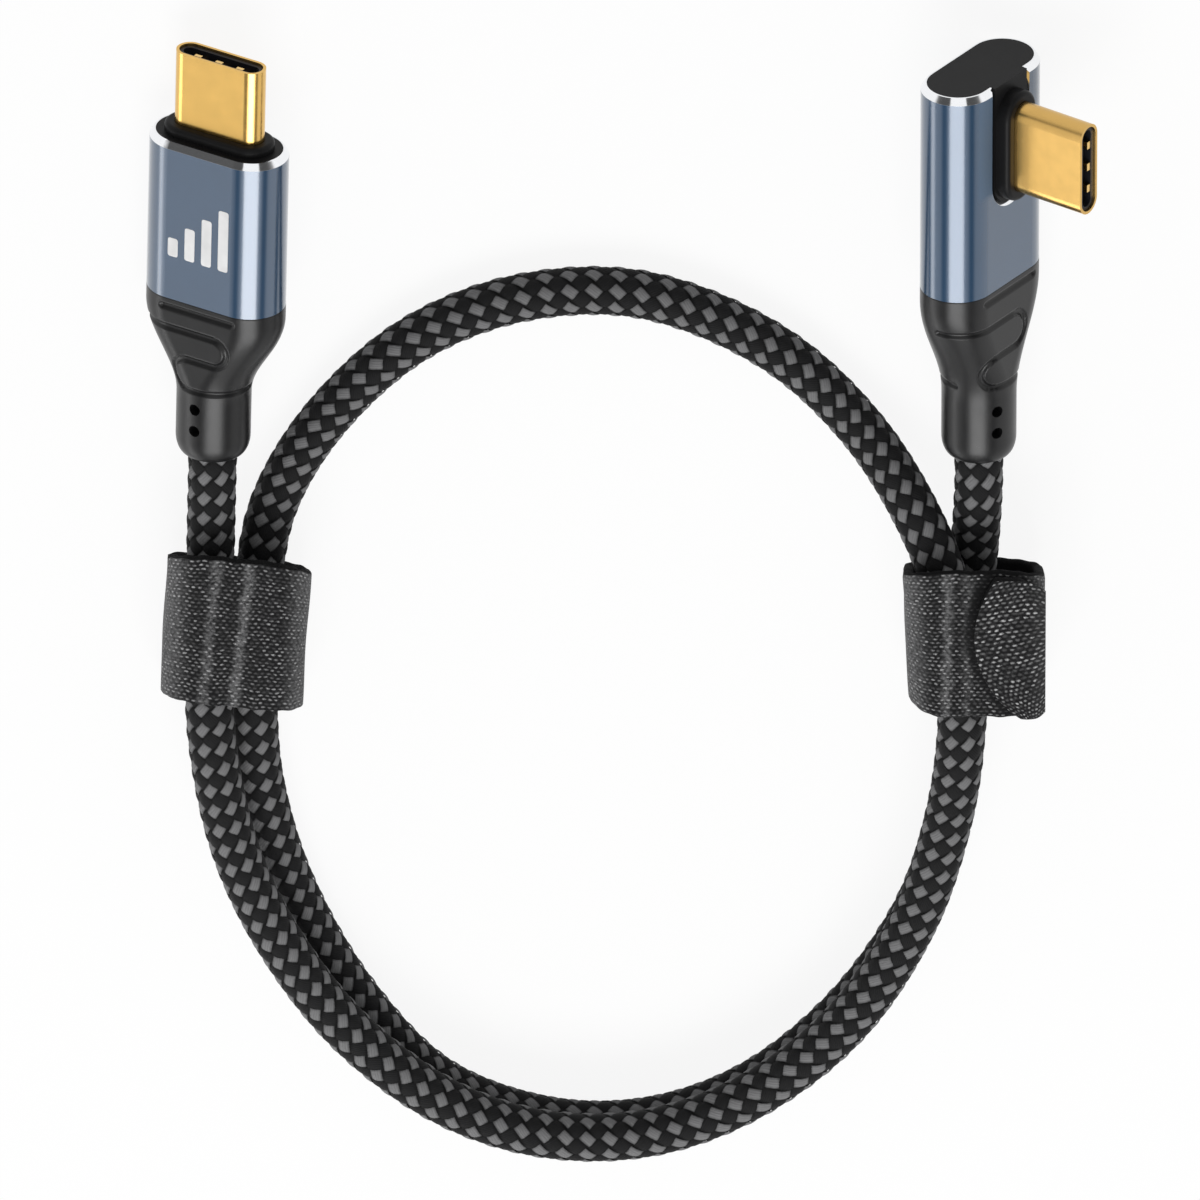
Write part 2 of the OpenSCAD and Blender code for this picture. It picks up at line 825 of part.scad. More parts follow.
module crimp(boot_len) {
    color("silver")
        translate([0, boot_len + spigot_len + crimp_lift, 0])
            rotate([-90, 0, 0])
                difference() {
                    cylinder(r = crimp_r, h = crimp_len);
                    translate([0, 0, -1]) cylinder(d = cord_d, h = crimp_len + 2);
                }
}

module cable_end(boot_len) {
    color([0.1, 0.1, 0.1])
        translate([0, cable_end_lift, 0])
            rotate([-90, 0, 0])
                cylinder(d = cord_d - 2 * fit_gap, h = boot_len + spigot_len + crimp_len);
}

// Four signal wires on one side of the board and two supply wires on the other
module wires(boot_len) {
    start = boot_len + spigot_len + crimp_len + cable_end_lift;
    color("firebrick") {
        for (i = [-1.5 : 1 : 1.5]) {
            translate([i * (wire_d + 0.15), start, board_t / 2 + wire_d / 2])
                rotate([-90, 0, 0]) cylinder(d = wire_d, h = wire_len);
        }
        for (i = [-0.5, 0.5]) {
            translate([i * (wire_d + 0.6), start, -board_t / 2 - wire_d / 2])
                rotate([-90, 0, 0]) cylinder(d = wire_d, h = wire_len);
        }
    }
}

// ---- Cord ------------------------------------------------------------------------------

module cord() {
    centres = route(cord_route, cord_steps);
    color([0.13, 0.13, 0.13])
        polyhedron(
            points = tube_points(centres, [for (c = centres) [0, 0, 1]], cord_d / 2, cord_sides),
            faces = ring_faces(len(centres), cord_sides),
            convexity = 10
        );
}

fine_route = route(cord_route, gap_steps);
echo(cord_length = route_length(fine_route));
echo(cord_least_gap_to_itself = least_gap(fine_route, gap_window, cord_d));

// ---- Straps ----------------------------------------------------------------------------

// Rectangle with round corners, given by two opposite corners
module rounded_box(low, high, r) {
    translate([low[0] + r, low[1]]) square([high[0] - low[0] - 2 * r, high[1] - low[1]]);
    translate([low[0], low[1] + r]) square([high[0] - low[0], high[1] - low[1] - 2 * r]);
    for (x = [low[0] + r, high[0] - r], z = [low[1] + r, high[1] - r]) {
        translate([x, z]) circle(r = r);
    }
}

// Closed loop of fabric along Y. Both ends are cut on the same slant, so that the underside
// lies strap_skew further back than the top. Its children are its section
module strap_loop(height) {
    difference() {
        translate([0, 1, 0])
            rotate([90, 0, 0]) linear_extrude(strap_len + strap_skew + 2) children();
        slant_cut(height, 0, 0);
        slant_cut(height, -strap_len, -1);
    }
}

// Block on one side of the slanted plane that meets the top of the loop at y
module slant_cut(height, y, side) {
    translate([0, y, height])
        rotate([-atan(strap_skew / height), 0, 0])
            translate([-right_strap_w, side * 4 * height, -3 * height])
                cube([2 * right_strap_w, 4 * height, 5 * height]);
}

module right_section() {
    difference() {
        rounded_box([-right_strap_w / 2, 0], [right_strap_w / 2, right_strap_h], strap_bend);
        rounded_box(
            [-right_strap_w / 2 + strap_t, strap_t],
            [right_strap_w / 2 - strap_t, right_strap_h - strap_t],
            strap_inner_bend
        );
    }
}

// The left loop's underside is stepped: it goes up over the tab that lies under it
module left_section() {
    half = left_strap_w / 2;
    difference() {
        union() {
            rounded_box([-half, left_step], [half, left_strap_h], strap_bend);
            rounded_box([left_step_x, 0], [half, left_strap_h], strap_bend);
        }
        rounded_box(
            [-half + strap_t, left_step + strap_t],
            [half - strap_t, left_strap_h - strap_t],
            strap_inner_bend
        );
        rounded_box(
            [left_step_x + strap_t, strap_t],
            [half - strap_t, left_strap_h - strap_t],
            strap_inner_bend
        );
    }
}

module right_strap() {
    color([0.25, 0.25, 0.25])
        translate(right_strap_at) strap_loop(right_strap_h) right_section();
}

module left_strap() {
    color([0.25, 0.25, 0.25])
        translate(left_strap_at)
            rotate([0, 0, -left_strap_turn]) strap_loop(left_strap_h) left_section();
}

// Free end of a strap: flat, as long as the strap is wide, with a round tip. X runs from the
// fold, whose edge is round, to the tip
module tab(length) {
    bulge = length - tab_straight;
    intersection() {
        union() {
            translate([tab_t / 2, -strap_len, 0]) cube([length, strap_len, tab_t]);
            translate([tab_t / 2, 0, tab_t / 2])
                rotate([90, 0, 0]) cylinder(d = tab_t, h = strap_len);
        }
        translate([length - tip_r(bulge), -strap_len / 2, 0])
            cylinder(r = tip_r(bulge), h = tab_t, $fn = 96);
    }
}

function tip_r(bulge) = (bulge * bulge + strap_len * strap_len / 4) / (2 * bulge);

module right_tab() {
    color([0.3, 0.3, 0.3])
        translate(right_strap_at + [right_strap_w / 2 - tab_setback, 0, right_strap_h + tab_gap])
            mirror([1, 0, 0]) tab(right_tab_len);
}

module left_tab() {
    color([0.3, 0.3, 0.3])
        translate(left_strap_at)
            rotate([0, 0, -left_strap_turn])
                translate([-left_strap_w / 2 + tab_setback, -strap_skew, tab_gap]) tab(left_tab_len);
}

straight_shell();
straight_housing();
straight_contacts();
straight_springs();
straight_latch();
straight_board();
straight_chip();
straight_can();
straight_mould();
straight_nose();
straight_sleeve();
straight_boot();
straight_crimp();
straight_cable_end();
straight_wires();
angled_shell();
angled_housing();
angled_contacts();
angled_springs();
angled_latch();
angled_board();
angled_chip();
angled_mould();
angled_insert();
angled_sleeve();
angled_boot();
angled_crimp();
angled_cable_end();
angled_wires();
cord();
left_strap();
left_tab();
right_strap();
right_tab();
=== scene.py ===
"""Braided charging cable with a straight and a right-angle plug, coiled and strapped.

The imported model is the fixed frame. This script makes the camera, the studio, the woven cord
and the straps, and gives every other piece its finish. Sizes inside the classes are in
millimetres; make_piece() turns a finished mesh into metres.
"""

from __future__ import annotations

import logging
import math
from dataclasses import dataclass, replace
from enum import Enum
from itertools import accumulate
from typing import Any, Callable, Sequence

import bmesh
import bpy
from mathutils import Euler, Matrix, Vector

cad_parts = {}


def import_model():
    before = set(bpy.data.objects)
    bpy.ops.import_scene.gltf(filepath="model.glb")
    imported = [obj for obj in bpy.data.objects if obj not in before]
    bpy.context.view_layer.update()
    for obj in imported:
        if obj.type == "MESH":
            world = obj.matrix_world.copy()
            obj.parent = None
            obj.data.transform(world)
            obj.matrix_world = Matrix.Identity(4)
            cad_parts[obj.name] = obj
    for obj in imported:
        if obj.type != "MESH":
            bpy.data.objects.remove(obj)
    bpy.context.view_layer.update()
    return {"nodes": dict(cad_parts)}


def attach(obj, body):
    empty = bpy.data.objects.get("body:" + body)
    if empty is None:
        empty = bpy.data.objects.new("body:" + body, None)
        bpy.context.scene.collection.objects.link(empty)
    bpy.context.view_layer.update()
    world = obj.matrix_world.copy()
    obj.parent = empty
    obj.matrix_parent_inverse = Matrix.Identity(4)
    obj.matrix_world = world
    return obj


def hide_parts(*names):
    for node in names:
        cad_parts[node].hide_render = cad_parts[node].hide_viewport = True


LOG = logging.getLogger("charging_cable")
MM = 0.001
WEAVE = "weave"

Colour = tuple[float, float, float]


def toned(colour: Colour, level: float) -> Colour:
    """A colour made darker or lighter."""
    return tuple(c * level for c in colour)


def add_object(name: str, data: bpy.types.ID) -> bpy.types.Object:
    """Puts a new object in the scene.

    Args:
        name: its name.
        data: its mesh, curve, camera or lamp.

    Returns:
        The object.
    """
    made = bpy.data.objects.new(name, data)
    bpy.context.scene.collection.objects.link(made)
    return made


# ---- Shader maths ----------------------------------------------------------------------


class Value:
    """A socket that carries one number, so that sums on it add Math nodes."""

    def __init__(self, nodes: Nodes, socket: bpy.types.NodeSocket) -> None:
        """Wraps a socket.

        Args:
            nodes: the tree it belongs to.
            socket: the output socket that carries the number.
        """
        self.nodes = nodes
        self.socket = socket

    def __add__(self, other: Value | float) -> Value:
        """self + other."""
        return self.nodes.math("ADD", self, other)

    __radd__ = __add__

    def __sub__(self, other: Value | float) -> Value:
        """self - other."""
        return self.nodes.math("SUBTRACT", self, other)

    def __rsub__(self, other: float) -> Value:
        """other - self."""
        return self.nodes.math("SUBTRACT", other, self)

    def __mul__(self, other: Value | float) -> Value:
        """self * other."""
        return self.nodes.math("MULTIPLY", self, other)

    __rmul__ = __mul__

    def __truediv__(self, other: Value | float) -> Value:
        """self / other."""
        return self.nodes.math("DIVIDE", self, other)

    def __abs__(self) -> Value:
        """Size of self, without its sign."""
        return self.nodes.math("ABSOLUTE", self)


class Nodes:
    """A node tree and the sums and patterns that are made in it."""

    def __init__(self, tree: bpy.types.NodeTree) -> None:
        """Takes the tree that the nodes go into."""
        self.tree = tree

    def feed(self, socket: bpy.types.NodeSocket, value: Any) -> None:
        """Gives a socket a link or a value.

        Args:
            socket: the input socket.
            value: a Value, an output socket, a number or a tuple.
        """
        if isinstance(value, Value):
            value = value.socket
        if isinstance(value, bpy.types.NodeSocket):
            self.tree.links.new(value, socket)
        elif socket.type == "RGBA" and len(value) == 3:
            socket.default_value = (*value, 1.0)
        else:
            socket.default_value = value

    def node(
        self,
        kind: str,
        settings: dict[str, Any] | None = None,
        sockets: dict[Any, Any] | None = None,
    ) -> bpy.types.Node:
        """Adds one node.

        Args:
            kind: the node's type without its "ShaderNode".
            settings: its properties, set first; "stops" are a ramp's (place, colour) pairs.
            sockets: values or links of its input sockets, by name or number.

        Returns:
            The new node.
        """
        made = self.tree.nodes.new("ShaderNode" + kind)
        for key, value in (settings or {}).items():
            if key == "stops":
                ramp = made.color_ramp
                for place, colour in value[2:]:
                    ramp.elements.new(place)
                for element, (place, colour) in zip(ramp.elements, sorted(value)):
                    element.position = place
                    element.color = (*colour, 1.0)
            else:
                setattr(made, key, value)
        for key, value in (sockets or {}).items():
            self.feed(made.inputs[key], value)
        return made

    def math(self, operation: str, *terms: Value | float, clamp: bool = False) -> Value:
        """Adds a Math node.

        Args:
            operation: its operation.
            terms: its inputs in order.
            clamp: whether the result is kept from 0 to 1.

        Returns:
            The result.
        """
        made = self.node(
            "Math", {"operation": operation, "use_clamp": clamp}, dict(enumerate(terms))
        )
        return Value(self, made.outputs[0])

    def least(self, a: Value | float, b: Value | float) -> Value:
        """The smaller of two numbers."""
        return self.math("MINIMUM", a, b)

    def most(self, a: Value | float, b: Value | float) -> Value:
        """The larger of two numbers."""
        return self.math("MAXIMUM", a, b)

    def rise(self, x: Value, low: float, high: float) -> Value:
        """A smooth step.

        Args:
            x: the number.
            low: where the step is 0.
            high: where it is 1; it may lie below low.

        Returns:
            0 before low, 1 after high, smooth between.
        """
        made = self.node(
            "MapRange",
            {"interpolation_type": "SMOOTHSTEP"},
            {"Value": x, "From Min": low, "From Max": high},
        )
        return Value(self, made.outputs[0])

    def band(self, x: Value, low: float, high: float, soft: float) -> Value:
        """1 between low and high, and 0 outside, with edges soft wide."""
        return self.rise(x, low - soft, low + soft) * self.rise(x, high + soft, high - soft)

    def mix(self, amount: Value | float, first: Any, second: Any) -> bpy.types.NodeSocket:
        """Mixes two colours.

        Args:
            amount: 0 for the first colour and 1 for the second.
            first: a colour or a socket.
            second: a colour or a socket.

        Returns:
            The mixed colour's socket.
        """
        made = self.node("Mix", {"data_type": "RGBA"}, {0: amount, 6: first, 7: second})
        return made.outputs[2]

    def axes(self, vector: bpy.types.NodeSocket) -> tuple[Value, Value, Value]:
        """The three parts of a vector."""
        made = self.node("SeparateXYZ", None, {0: vector})
        return tuple(Value(self, out) for out in made.outputs)

    def rays(self) -> tuple[Value, Value]:
        """Tells kinds of ray apart.

        Returns:
            1 for a ray from the camera, and 1 for a ray that comes by way of metal or glass.
        """
        path = self.node("LightPath")
        names = ("Is Camera Ray", "Is Glossy Ray", "Is Transmission Ray")
        camera, glossy, through = (Value(self, path.outputs[name]) for name in names)
        return camera, self.most(glossy, through)


class Shader(Nodes):
    """One material and the nodes that make it."""

    def __init__(self, name: str) -> None:
        """Makes an empty material with its main shader.

        Args:
            name: the material's name.
        """
        self.material = bpy.data.materials.new(name)
        self.material.use_nodes = True
        super().__init__(self.material.node_tree)
        self.surface = self.tree.nodes["Principled BSDF"]

    def place(
        self, pose: Pose | None = None, stretch: Sequence[float] = (1, 1, 1)
    ) -> bpy.types.NodeSocket:
        """Object coordinates in millimetres, in a plug's own frame when a pose is given.

        Args:
            pose: where the plug lies.
            stretch: how far the pattern is drawn out along each axis.

        Returns:
            The vector socket.
        """
        coordinates = self.node("TexCoord").outputs["Object"]
        at = pose.at if pose else (0.0, 0.0, 0.0)
        turn = (0.0, pose.roll, pose.yaw) if pose else (0.0, 0.0, 0.0)
        made = self.node(
            "Mapping",
            {"vector_type": "TEXTURE"},
            {
                "Vector": coordinates,
                "Location": tuple(c * MM for c in at),
                "Rotation": turn,
                "Scale": tuple(MM * s for s in stretch),
            },
        )
        return made.outputs[0]

    def uv(self) -> bpy.types.NodeSocket:
        """The piece's own UV map."""
        return self.node("UVMap", {"uv_map": WEAVE}).outputs[0]

    def noise(
        self, vector: bpy.types.NodeSocket, scale: float, detail: float = 2.0, rough: float = 0.5
    ) -> Value:
        """Soft noise.

        Args:
            vector: where it is read.
            scale: waves per millimetre.
            detail: number of finer layers.
            rough: strength of the finer layers.

        Returns:
            The noise, from 0 to 1, mostly near one half.
        """
        made = self.node(
            "TexNoise",
            None,
            {"Vector": vector, "Scale": scale, "Detail": detail, "Roughness": rough},
        )
        return Value(self, made.outputs[0])

    def bump(self, height: Value, depth: float, strength: float = 1.0) -> None:
        """Makes the surface rise and fall.

        Args:
            height: the pattern.
            depth: millimetres that a height of 1 stands up.
            strength: how far the bump is used.
        """
        made = self.node(
            "Bump", None, {"Height": height, "Distance": depth * MM, "Strength": strength}
        )
        self.feed(self.surface.inputs["Normal"], made.outputs[0])

    def dress(self, **sockets: Any) -> None:
        """Feeds the main shader.

        Args:
            sockets: its inputs, with an underscore for each space in their names.
        """
        for key, value in sockets.items():
            self.feed(self.surface.inputs[key.replace("_", " ")], value)


# ---- Places ----------------------------------------------------------------------------


@dataclass(frozen=True)
class Pose:
    """Where a plug lies: the point where its cord comes out, its roll and its turn."""

    at: tuple[float, float, float]
    roll: float
    yaw: float

    def matrix(self) -> Matrix:
        """From the plug's own frame, in millimetres, to the row frame in millimetres."""
        return Matrix.Translation(self.at) @ Euler((0.0, self.roll, self.yaw)).to_matrix().to_4x4()


STRAIGHT_POSE = Pose((-33.85, -5.5, 4.6966), math.radians(-31), math.radians(-1.3))
ANGLED_POSE = Pose((29.25, -5.1, 5.608), math.radians(54), 0.0)
STRAP_WIDTH = 13.6


# ---- Finishes --------------------------------------------------------------------------


@dataclass(frozen=True)
class Finish:
    """A named finish. Each kind says in paint() how it is laid on."""

    name: str

    def paint(self, shader: Shader) -> None:
        """Lays the finish on a shader."""
        raise NotImplementedError

    def material(self) -> bpy.types.Material:
        """Makes a material with this finish.

        Returns:
            The material.
        """
        shader = Shader(self.name)
        self.paint(shader)
        return shader.material


@dataclass(frozen=True)
class PlatedMetal(Finish):
    """Plated or bare sheet metal with the fine lines of drawing or rolling."""

    colour: Colour
    roughness: float
    pose: Pose | None = None
    line_depth: float = 0.0015

    def paint(self, shader: Shader) -> None:
        """Lays the finish on.

        Args:
            shader: the material's shader.
        """
        lines = shader.noise(shader.place(self.pose, (0.12, 2.5, 0.12)), 1.0, 4.0, 0.6)
        cloud = shader.noise(shader.place(self.pose), 0.7, 3.0)
        shader.bump(lines, self.line_depth)
        shader.dress(
            Base_Color=shader.mix(cloud, toned(self.colour, 0.86), self.colour),
            Metallic=1.0,
            Roughness=self.roughness + 0.12 * (lines - 0.5) + 0.08 * (cloud - 0.5),
        )


@dataclass(frozen=True)
class AnodisedSleeve(Finish):
    """Bead-blasted, dyed aluminium whose open rim is cut back to bright metal.

    Beside a slot, the wall that looks up is bare only round the slot's end on the lit side;
    elsewhere there it has a matte patch of painted colour standing in for reflected light.
    """

    pose: Pose
    top: float
    rim: float = 0.55
    slot_half: float = 0.0
    slot_round: float = 0.0
    slot_chamfer: float = 0.0
    slot_ends: tuple[float, float] = (0.0, 0.0)
    painted_patch_band: tuple[float, float] = (1.9, 1.4)
    lit_side: tuple[float, float] = (-0.6, 0.6)
    crisp: float = 0.02
    colour: Colour = (0.020, 0.062, 0.128)
    bright: Colour = (0.90, 0.91, 0.93)
    # lighter colour of the matte patch beside the slot, painted to stand in for the light the
    # coated sleeve reflects
    painted_flat_look: Colour = (0.11, 0.165, 0.245)
    sheen: float = 1.88

    def paint(self, shader: Shader) -> None:
        """Lays the finish on.

        Args:
            shader: the material's shader.
        """
        local = shader.place(self.pose)
        x, y, z = shader.axes(local)
        start = self.top - self.rim
        cut = shader.rise(y, start - self.crisp, start + self.crisp)
        painted_patch: Value | float = 0.0
        if self.slot_half:
            below = shader.least(y - self.slot_round, 0.0)
            reach = shader.math("SQRT", x * x + below * below)
            edge = self.slot_half + self.slot_chamfer
            upper = shader.rise(z, 0.0, 0.5) * (1.0 - cut)
            polished = shader.most(shader.rise(x, *self.lit_side), shader.rise(y, *self.slot_ends))
            outer, inner = self.painted_patch_band
            # matte patch beside the slot in painted colour, standing in for the sleeve's reflected
            # light
            painted_patch = shader.rise(reach, edge + outer, edge + inner) * upper * (1.0 - polished)
            round_end = shader.rise(reach, edge + self.crisp, edge - self.crisp)
            cut = shader.most(cut, round_end * upper * polished)
        grain = shader.noise(local, 14.0, 3.0, 0.7)
        cloud = shader.noise(local, 0.35, 2.0)
        dyed = shader.mix(cloud, toned(self.colour, 0.93), toned(self.colour, 1.07))
        shader.bump(grain * (1.0 - cut), 0.002)
        shader.dress(
            Base_Color=shader.mix(painted_patch, shader.mix(cut, dyed, self.bright), self.painted_flat_look),
            Metallic=(0.2 + 0.8 * cut) * (1.0 - painted_patch),
            Roughness=0.24 - 0.14 * cut + 0.4 * painted_patch + 0.06 * (grain - 0.5) * (1.0 - cut),
            Specular_IOR_Level=0.2,
            Coat_Weight=1.0 - shader.most(cut, painted_patch),
            Coat_IOR=self.sheen,
            Coat_Roughness=0.17,
        )


@dataclass(frozen=True)
class MouldedPlastic(Finish):
    """Injection-moulded plastic with the fine skin of a spark-eroded tool."""

    colour: Colour
    roughness: float
    grain: float = 9.0
    depth: float = 0.004
    gloss: float = 0.25

    def paint(self, shader: Shader) -> None:
        """Lays the finish on.

        Args:
            shader: the material's shader.
        """
        local = shader.place()
        skin = shader.noise(local, self.grain, 4.0, 0.6)
        cloud = shader.noise(local, 0.5, 2.0)
        shader.bump(skin, self.depth)
        shader.dress(
            Base_Color=shader.mix(cloud, toned(self.colour, 0.8), toned(self.colour, 1.2)),
            Roughness=self.roughness + 0.14 * (skin - 0.5),
            Specular_IOR_Level=self.gloss,
        )


@dataclass(frozen=True)
class BootRubber(Finish):
    """Satin black elastomer, slightly duller in soft clouds where fingers hold it."""

    colour: Colour = (0.0075, 0.0075, 0.008)
    roughness: float = 0.32
    gloss: float = 0.37

    def paint(self, shader: Shader) -> None:
        """Lays the finish on.

        Args:
            shader: the material's shader.
        """
        local = shader.place()
        skin = shader.noise(local, 16.0, 3.0, 0.6)
        wear = shader.noise(local, 0.6, 3.0, 0.6)
        shader.bump(skin, 0.005)
        shader.dress(
            Base_Color=shader.mix(wear, toned(self.colour, 0.8), toned(self.colour, 1.25)),
            Roughness=self.roughness + 0.16 * (wear - 0.5) + 0.1 * (skin - 0.5),
            Specular_IOR_Level=self.gloss,
        )


@dataclass(frozen=True)
class BraidYarn(Finish):
    """Flat bundle of textured filaments, with painted shade where it dives under the next yarn and
    along its edges.
    """

    colour: Colour
    filaments: float
    contrast: float
    # share of the colour kept in the painted shade where the yarn dives under
    dive_shade: float
    phase: float = 0.0
    half_width: float = 0.5
    period: float = 2.0
    roughness: float = 0.75

    def paint(self, shader: Shader) -> None:
        """Lays the finish on.

        Args:
            shader: the material's shader.
        """
        along, across, _ = shader.axes(shader.uv())
        wander = shader.noise(shader.uv(), 0.6, 2.0)
        ribs = shader.math("SINE", (across * self.filaments + 1.6 * wander) * math.tau)
        stretched = shader.node("Mapping", None, {"Vector": shader.uv(), "Scale": (1.4, 14.0, 1.0)})
        streak = shader.noise(stretched.outputs[0], 1.0, 3.0, 0.65)
        fluff = shader.noise(shader.uv(), 3.2, 3.0, 0.7)
        tone = shader.math("ADD", streak, 0.12 * ribs, clamp=True)
        # painted shade: darker where the yarn dives under the next one and towards its edges
        crest = shader.math("COSINE", along * (math.tau / self.period) + self.phase)
        unshaded = shader.rise(crest + 0.5 * (fluff - 0.5), -0.35, 0.55)
        aside = abs(across - self.half_width) / self.half_width
        unshaded = unshaded * shader.rise(aside + 0.35 * (fluff - 0.5), 1.05, 0.6)
        low, high = (toned(self.colour, 1 + way * self.contrast) for way in (-1, 1))
        under = toned(self.colour, self.dive_shade)
        shader.bump(0.5 * ribs + streak + 0.6 * fluff, 0.016)
        shader.dress(
            Base_Color=shader.mix(unshaded, under, shader.mix(tone, low, high)),
            Roughness=self.roughness,
            Specular_IOR_Level=0.12,
            Sheen_Weight=0.04,
            Sheen_Roughness=0.4,
        )


@dataclass(frozen=True)
class StrapFabric(Finish):
    """Loop side of a hook-and-loop strap: rows of short pale loops in a dark ground."""

    ground: Colour = (0.0100, 0.0100, 0.0105)
    loops: Colour = (0.42, 0.42, 0.425)
    row: float = 0.355
    pitch: float = 0.54
    slant: float = 0.0
    size: float = 1.0
    ridges: tuple[tuple[float, float, float], ...] = ()
    # ends of the loop's flat top; beyond them the rounded bends get painted sheen and paler
    # stretched loops
    bend_sheen: tuple[float, float] | None = None
    shadow: tuple[float, float, float] | None = None
    length: float = STRAP_WIDTH

    def paint(self, shader: Shader) -> None:
        """Lays the finish on.

        Args:
            shader: the material's shader.
        """
        way, down, _ = shader.axes(shader.uv())
        turned = shader.node(
            "Mapping", None, {"Vector": shader.uv(), "Rotation": (0.0, 0.0, self.slant)}
        ).outputs[0]
        round_way, along, _ = shader.axes(turned)
        sway = shader.noise(turned, 0.7, 2.0)
        fine = shader.noise(turned, 4.2, 3.0, 0.7)
        line = (along + 0.3 * (sway - 0.5)) / (self.row * self.size)
        index = shader.math("FLOOR", line)
        across = line - index
        shift = shader.math("FRACT", index * 0.5) + 0.7 * (fine - 0.5)
        cell = round_way / (self.pitch * self.size) + shift
        number = shader.math("FLOOR", cell)
        inside = cell - number
        pick = shader.node(
            "TexWhiteNoise",
            {"noise_dimensions": "2D"},
            {"Vector": shader.node("CombineXYZ", None, {0: index, 1: number}).outputs[0]},
        )
        chance = Value(shader, pick.outputs["Value"])
        place_y = across - 0.5 + 0.3 * (chance - 0.5)
        place_x = inside - 0.5 + 0.3 * (fine - 0.5)
        reach = shader.math("SQRT", place_y * place_y + 0.75 * place_x * place_x)
        bead = shader.rise(reach, 0.36, 0.05)
        speck = bead * (0.06 + 0.94 * chance * chance)
        fuzz = shader.noise(turned, 2.6, 4.0, 0.75)
        nap_and_sheen = 0.07 * shader.rise(fuzz, 0.45, 0.75) + 0.03 * shader.rise(reach, 0.5, 0.2)
        for spot, lean, depth in self.ridges:
            gap = abs(way - (spot + lean * down) + 1.0 * (sway - 0.5))
            nap_and_sheen = nap_and_sheen + depth * shader.rise(gap, 0.75, 0.0) * shader.rise(fuzz, 0.3, 0.65)
        # painted sheen and paler stretched loops on the rounded bends of the loop
        if self.bend_sheen:
            first, last = self.bend_sheen
            left = shader.rise(way, first - 0.6, first - 3.2)
            right = shader.rise(way, last + 0.6, last + 3.2)
            nap_and_sheen = nap_and_sheen + 0.30 * (left + right) * shader.rise(fuzz, 0.2, 0.7)
        tone = shader.math("ADD", speck, nap_and_sheen, clamp=True)
        if self.shadow:
            spot, bow, middle = self.shadow
            lean = 1.0 - down * (2 / self.length) - middle
            gap = way - spot + bow * lean * lean
            tone = tone * (1.0 - 0.85 * shader.band(gap, -0.4, 0.75, 0.3))
        shader.bump(speck + 0.6 * fuzz, 0.09)
        shader.dress(
            Base_Color=shader.mix(tone, self.ground, self.loops),
            Roughness=0.92,
            Specular_IOR_Level=0.08,
            Sheen_Weight=0.1,
            Sheen_Roughness=0.4,
        )


@dataclass(frozen=True)
class HookFabric(Finish):
    """Hook side and cut edge of a strap: black, with the stubs of the hooks."""

    colour: Colour = (0.009, 0.009, 0.0095)

    def paint(self, shader: Shader) -> None:
        """Lays the finish on.

        Args:
            shader: the material's shader.
        """
        stubs = shader.noise(shader.place(), 5.0, 3.0, 0.7)
        tone = shader.rise(stubs, 0.62, 0.8)
        shader.bump(stubs, 0.08)
        shader.dress(
            Base_Color=shader.mix(tone, self.colour, toned(self.colour, 5)),
            Roughness=0.9,
            Specular_IOR_Level=0.1,
        )


@dataclass(frozen=True)
class CircuitBoard(Finish):
    """Green solder mask over copper tracks, with tinned pads along its ends."""

    pose: Pose
    mask: Colour = (0.012, 0.10, 0.035)
    tracks: Colour = (0.03, 0.19, 0.06)
    pads: Colour = (0.75, 0.72, 0.62)

    def paint(self, shader: Shader) -> None:
        """Lays the finish on.

        Args:
            shader: the material's shader.
        """
        local = shader.place(self.pose)
        x, y, _ = shader.axes(local)
        lane = shader.math("FRACT", x / 0.8)
        bend = shader.math("FRACT", y / 1.9)
        track = shader.band(lane, 0.35, 0.6, 0.04) * shader.rise(bend, 0.08, 0.12)
        pad = shader.band(lane, 0.2, 0.75, 0.04) * shader.band(bend, 0.0, 0.12, 0.02)
        shader.bump(track + pad, 0.03)
        shader.dress(
            Base_Color=shader.mix(pad, shader.mix(track, self.mask, self.tracks), self.pads),
            Metallic=0.9 * pad,
            Roughness=0.35 + 0.2 * shader.noise(local, 2.0),
        )


@dataclass(frozen=True)
class WireJacket(Finish):
    """Thin wires, each in one of the plain colours of a cable's cores."""

    pose: Pose

    def paint(self, shader: Shader) -> None:
        """Lays the finish on.

        Args:
            shader: the material's shader.
        """
        local = shader.place(self.pose)
        x, _, z = shader.axes(local)
        place = (x + 3.0) / 6.0 + 0.12 * shader.rise(z, -0.1, 0.1)
        ramp = shader.node(
            "ValToRGB",
            {
                "stops": [
                    (0.0, (0.45, 0.03, 0.02)),
                    (0.3, (0.5, 0.5, 0.48)),
                    (0.48, (0.02, 0.22, 0.05)),
                    (0.62, (0.03, 0.08, 0.4)),
                    (0.82, (0.03, 0.03, 0.03)),
                ]
            },
            {0: place},
        )
        ramp.color_ramp.interpolation = "CONSTANT"
        shader.bump(shader.noise(local, 8.0), 0.003)
        shader.dress(
            Base_Color=ramp.outputs[0], Roughness=0.38 + 0.15 * shader.noise(local, 3.0)
        )


WHITE = (1.0, 1.0, 1.0)
GOLD = (0.82, 0.515, 0.155)
# a darker copy of the gold plating, used on the angled plug's shell
DARKER_GOLD = (0.70, 0.44, 0.138)


# ---- Meshes ----------------------------------------------------------------------------


